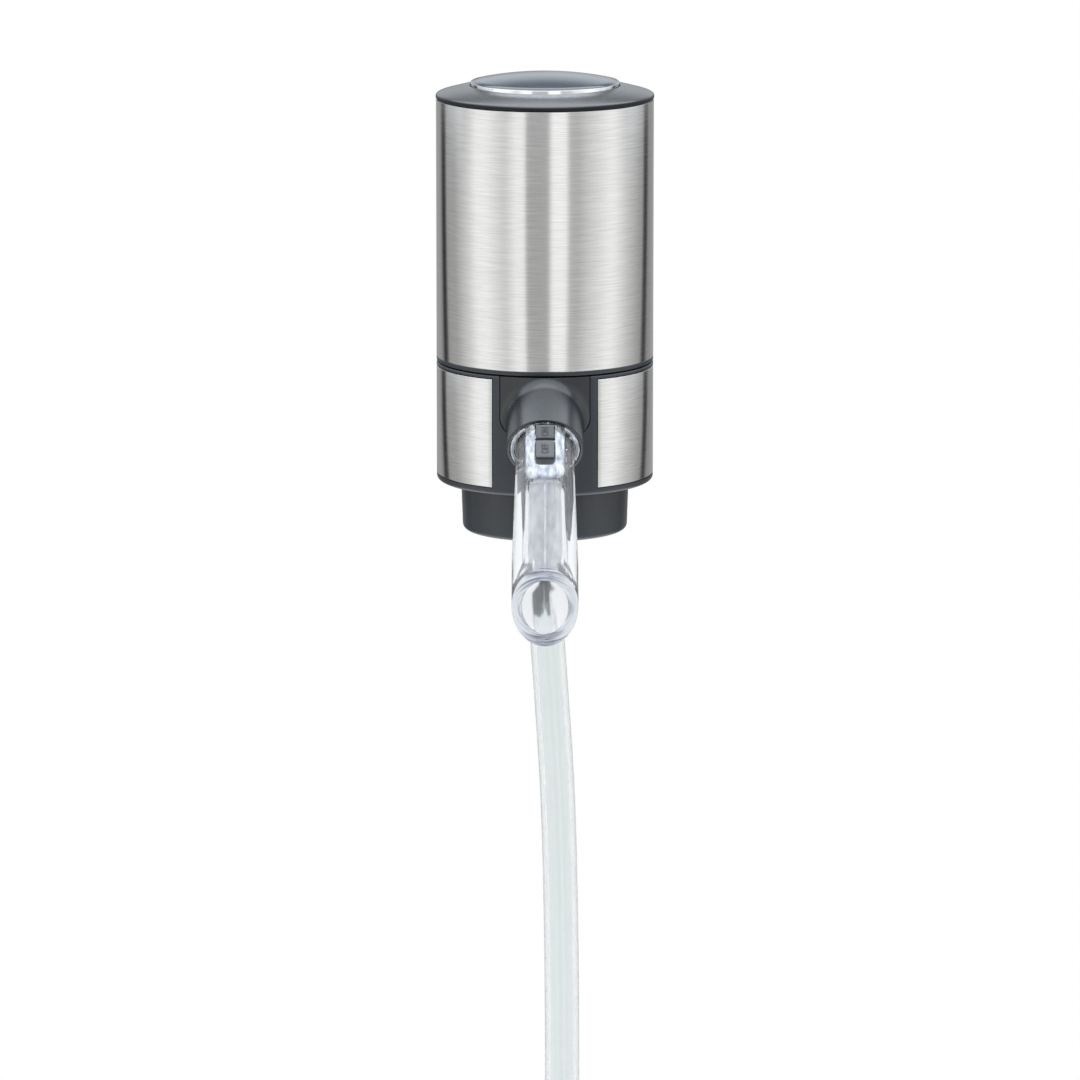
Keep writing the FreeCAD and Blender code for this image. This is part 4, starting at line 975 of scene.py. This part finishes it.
def raised_word(name, word, middle, length, slope):
    # A word laid on the rocker's face, read from the low end up.
    deselect()
    bpy.ops.object.text_add()
    text = bpy.context.object
    text.name = name
    text.data.body = word
    text.data.extrude = 0.05
    text.data.offset = 0.025
    text.data.align_x = "CENTER"
    text.data.align_y = "CENTER"
    text.data.resolution_u = 6
    bpy.ops.object.convert(target="MESH")
    piece = bpy.context.object
    corners = [Vector(c) for c in piece.bound_box]
    low = Vector([min(c[k] for c in corners) for k in range(3)])
    high = Vector([max(c[k] for c in corners) for k in range(3)])
    size = high - low
    fit = Matrix.Diagonal((length * MM / size.x, LETTER_HIGH * MM / size.y, LETTER_THICK * MM / size.z, 1))
    piece.matrix_world = fit @ Matrix.Translation(-(low + high) / 2)
    settle(piece)
    # Read upwards: the word's X goes up the pipe, its Y to the left, its Z out of the face.
    turn = Matrix(((0, -1, 0, 0), (0, 0, 1, 0), (-1, 0, 0, 0), (0, 0, 0, 1)))
    place(piece, turn)
    lift = ROCKER_FACE + (middle - PIN_AT - GROOVE) * math.tan(math.radians(slope))
    place(piece, ON_PIPE @ Matrix.Translation((0, (lift + LETTER_LIFT) * MM, middle * MM))
          @ Matrix.Rotation(math.radians(-slope), 4, "X"))
    smooth(piece, 30)
    finish_piece(piece, LETTER_INK, "rocker", [])


raised_word("on_letters", "ON", -3.05, 2.3, 0.0)
raised_word("off_letters", "OFF", 1.65, 2.8, TILT)


# Studio: pale floor, white backdrop and soft panels round the barrel

FLOOR_R = 0.45
FLOOR_AT = -0.302
FADE_START = 0.2
FADE_END = 0.44


def studio_floor():
    deselect()
    bpy.ops.mesh.primitive_circle_add(vertices=96, radius=FLOOR_R, fill_type="NGON", location=(0, 0, 0))
    floor = bpy.context.object
    floor.name = "studio_floor"
    place(floor, Matrix.Translation((0, 0, FLOOR_AT)))
    material, tree, shader = new_material("studio_floor_paper", "#e9e9e8", Roughness=0.8)
    # The paper fades to the white backdrop towards its edge, and keeps the shadow inside that.
    coords = add(tree, "ShaderNodeTexCoord")
    flat = add(tree, "ShaderNodeVectorMath", {1: (1.0, 1.0, 0.0)}, {0: coords.outputs["Object"]},
               operation="MULTIPLY")
    reach = add(tree, "ShaderNodeVectorMath", links={0: flat.outputs["Vector"]}, operation="LENGTH")
    fade = add(tree, "ShaderNodeMapRange", {"From Min": FADE_START, "From Max": FADE_END},
               {"Value": reach.outputs["Value"]})
    path = add(tree, "ShaderNodeLightPath")
    seen = add(tree, "ShaderNodeMath",
               links={0: path.outputs["Is Camera Ray"], 1: path.outputs["Is Glossy Ray"]},
               operation="MAXIMUM")
    seen = add(tree, "ShaderNodeMath", links={0: seen.outputs[0], 1: path.outputs["Is Transmission Ray"]},
               operation="MAXIMUM")
    share = add(tree, "ShaderNodeMath", links={0: seen.outputs[0], 1: fade.outputs["Result"]},
                operation="MULTIPLY")
    white = add(tree, "ShaderNodeEmission", {"Color": (1, 1, 1, 1), "Strength": 1.0})
    mix = add(tree, "ShaderNodeMixShader")
    tree.links.new(share.outputs[0], mix.inputs[0])
    tree.links.new(shader.outputs["BSDF"], mix.inputs[1])
    tree.links.new(white.outputs["Emission"], mix.inputs[2])
    tree.links.new(mix.outputs["Shader"], tree.nodes["Material Output"].inputs["Surface"])
    floor.data.materials.append(material)


# Brightness of the studio by bearing in degrees: 0 is the camera's side and 90 the right.
# Soft boxes stand at both sides and a strip light just right of the camera, with dark cards between.
PANELS = [
    (-180, 0.38), (-150, 0.41), (-143, 0.30), (-139.5, 0.03), (-131.5, 0.03), (-128, 0.46), (-111, 0.50),
    (-90, 0.93), (-78, 1.30), (-66, 1.30), (-55, 1.10), (-46, 0.93), (-42, 0.93), (-31, 1.28), (-22, 1.28),
    (-19, 0.56), (3, 0.56), (8, 1.33), (22, 1.33), (27, 0.65), (36, 0.65), (48, 0.90), (72, 1.28),
    (79, 1.28), (100, 0.80), (121, 0.47), (126, 0.47), (130, 0.05), (137, 0.05), (142, 0.34), (180, 0.47),
]
PANEL_PEAK = 1.4
COOL_LIGHT = "#ecf2fa"

# Brightness above the panels by the direction's height, 0 at the horizon and 1 overhead:
# a grey backdrop behind the barrel and a wide soft box that hangs over it.
HEIGHTS = [
    (0.0, 1.2), (0.2, 1.2), (0.3, 1.15), (0.42, 0.4), (0.5, 0.4), (0.58, 3.4), (0.74, 3.4), (0.85, 3.1),
    (0.93, 5.0), (1.0, 5.0),
]
HEIGHT_PEAK = 5.0


def level_ramp(tree, factor, levels, peak):
    # A ramp from 0 to 1 that gives a brightness, read back at its real level.
    ramp = add(tree, "ShaderNodeValToRGB", links={"Fac": factor})
    stops = ramp.color_ramp.elements
    while len(stops) < len(levels):
        stops.new(0.5)
    for stop, (position, level) in zip(stops, levels):
        stop.position = position
        stop.color = (level / peak,) * 3 + (1.0,)
    return add(tree, "ShaderNodeMath", {1: peak}, {0: ramp.outputs["Color"]}, operation="MULTIPLY").outputs[0]


def studio_world():
    world = bpy.data.worlds.new("studio")
    bpy.context.scene.world = world
    world.use_nodes = True
    tree = world.node_tree
    background = tree.nodes["Background"]
    coords = add(tree, "ShaderNodeTexCoord")
    split = add(tree, "ShaderNodeSeparateXYZ", links={"Vector": coords.outputs["Generated"]})
    away = add(tree, "ShaderNodeMath", {1: -1.0}, {0: split.outputs["Y"]}, operation="MULTIPLY")
    bearing = add(tree, "ShaderNodeMath", links={0: split.outputs["X"], 1: away.outputs[0]},
                  operation="ARCTAN2")
    turn = add(tree, "ShaderNodeMapRange", {"From Min": -math.pi, "From Max": math.pi},
               {"Value": bearing.outputs[0]})
    round_it = [((degrees + 180) / 360, level) for degrees, level in PANELS]
    panels = level_ramp(tree, turn.outputs["Result"], round_it, PANEL_PEAK)
    above = level_ramp(tree, split.outputs["Z"], HEIGHTS, HEIGHT_PEAK)
    # The panels stand up to 35 degrees or so in front, and stop at the horizon behind.
    panel_top = add(tree, "ShaderNodeMapRange",
                    {"From Min": -0.2, "From Max": 0.2, "To Min": 0.35, "To Max": 0.0},
                    {"Value": split.outputs["Y"]})
    over = add(tree, "ShaderNodeMath", links={0: split.outputs["Z"], 1: panel_top.outputs["Result"]},
               operation="SUBTRACT")
    up = add(tree, "ShaderNodeMapRange", {"From Max": 0.18}, {"Value": over.outputs[0]})
    mix = add(tree, "ShaderNodeMapRange",
              links={"Value": up.outputs["Result"], "To Min": panels, "To Max": above})
    path = add(tree, "ShaderNodeLightPath")
    seen = add(tree, "ShaderNodeMath",
               links={0: path.outputs["Is Camera Ray"], 1: path.outputs["Is Transmission Ray"]},
               operation="MAXIMUM")
    strength = add(tree, "ShaderNodeMapRange", {"To Max": 1.0},
                   {"Value": seen.outputs[0], "To Min": mix.outputs["Result"]})
    tree.links.new(strength.outputs["Result"], background.inputs["Strength"])
    # The light from above is a little cooler than the panels, which the camera's white isn't.
    unseen = add(tree, "ShaderNodeMath", {0: 1.0}, {1: seen.outputs[0]}, operation="SUBTRACT")
    cool = add(tree, "ShaderNodeMath", links={0: unseen.outputs[0], 1: up.outputs["Result"]},
               operation="MULTIPLY")
    tint = add(tree, "ShaderNodeValToRGB", links={"Fac": cool.outputs[0]})
    tint.color_ramp.elements[0].color = (1, 1, 1, 1)
    tint.color_ramp.elements[1].color = colour(COOL_LIGHT)
    tree.links.new(tint.outputs["Color"], background.inputs["Color"])


studio_floor()
studio_world()
bpy.context.scene.view_settings.view_transform = "Standard"
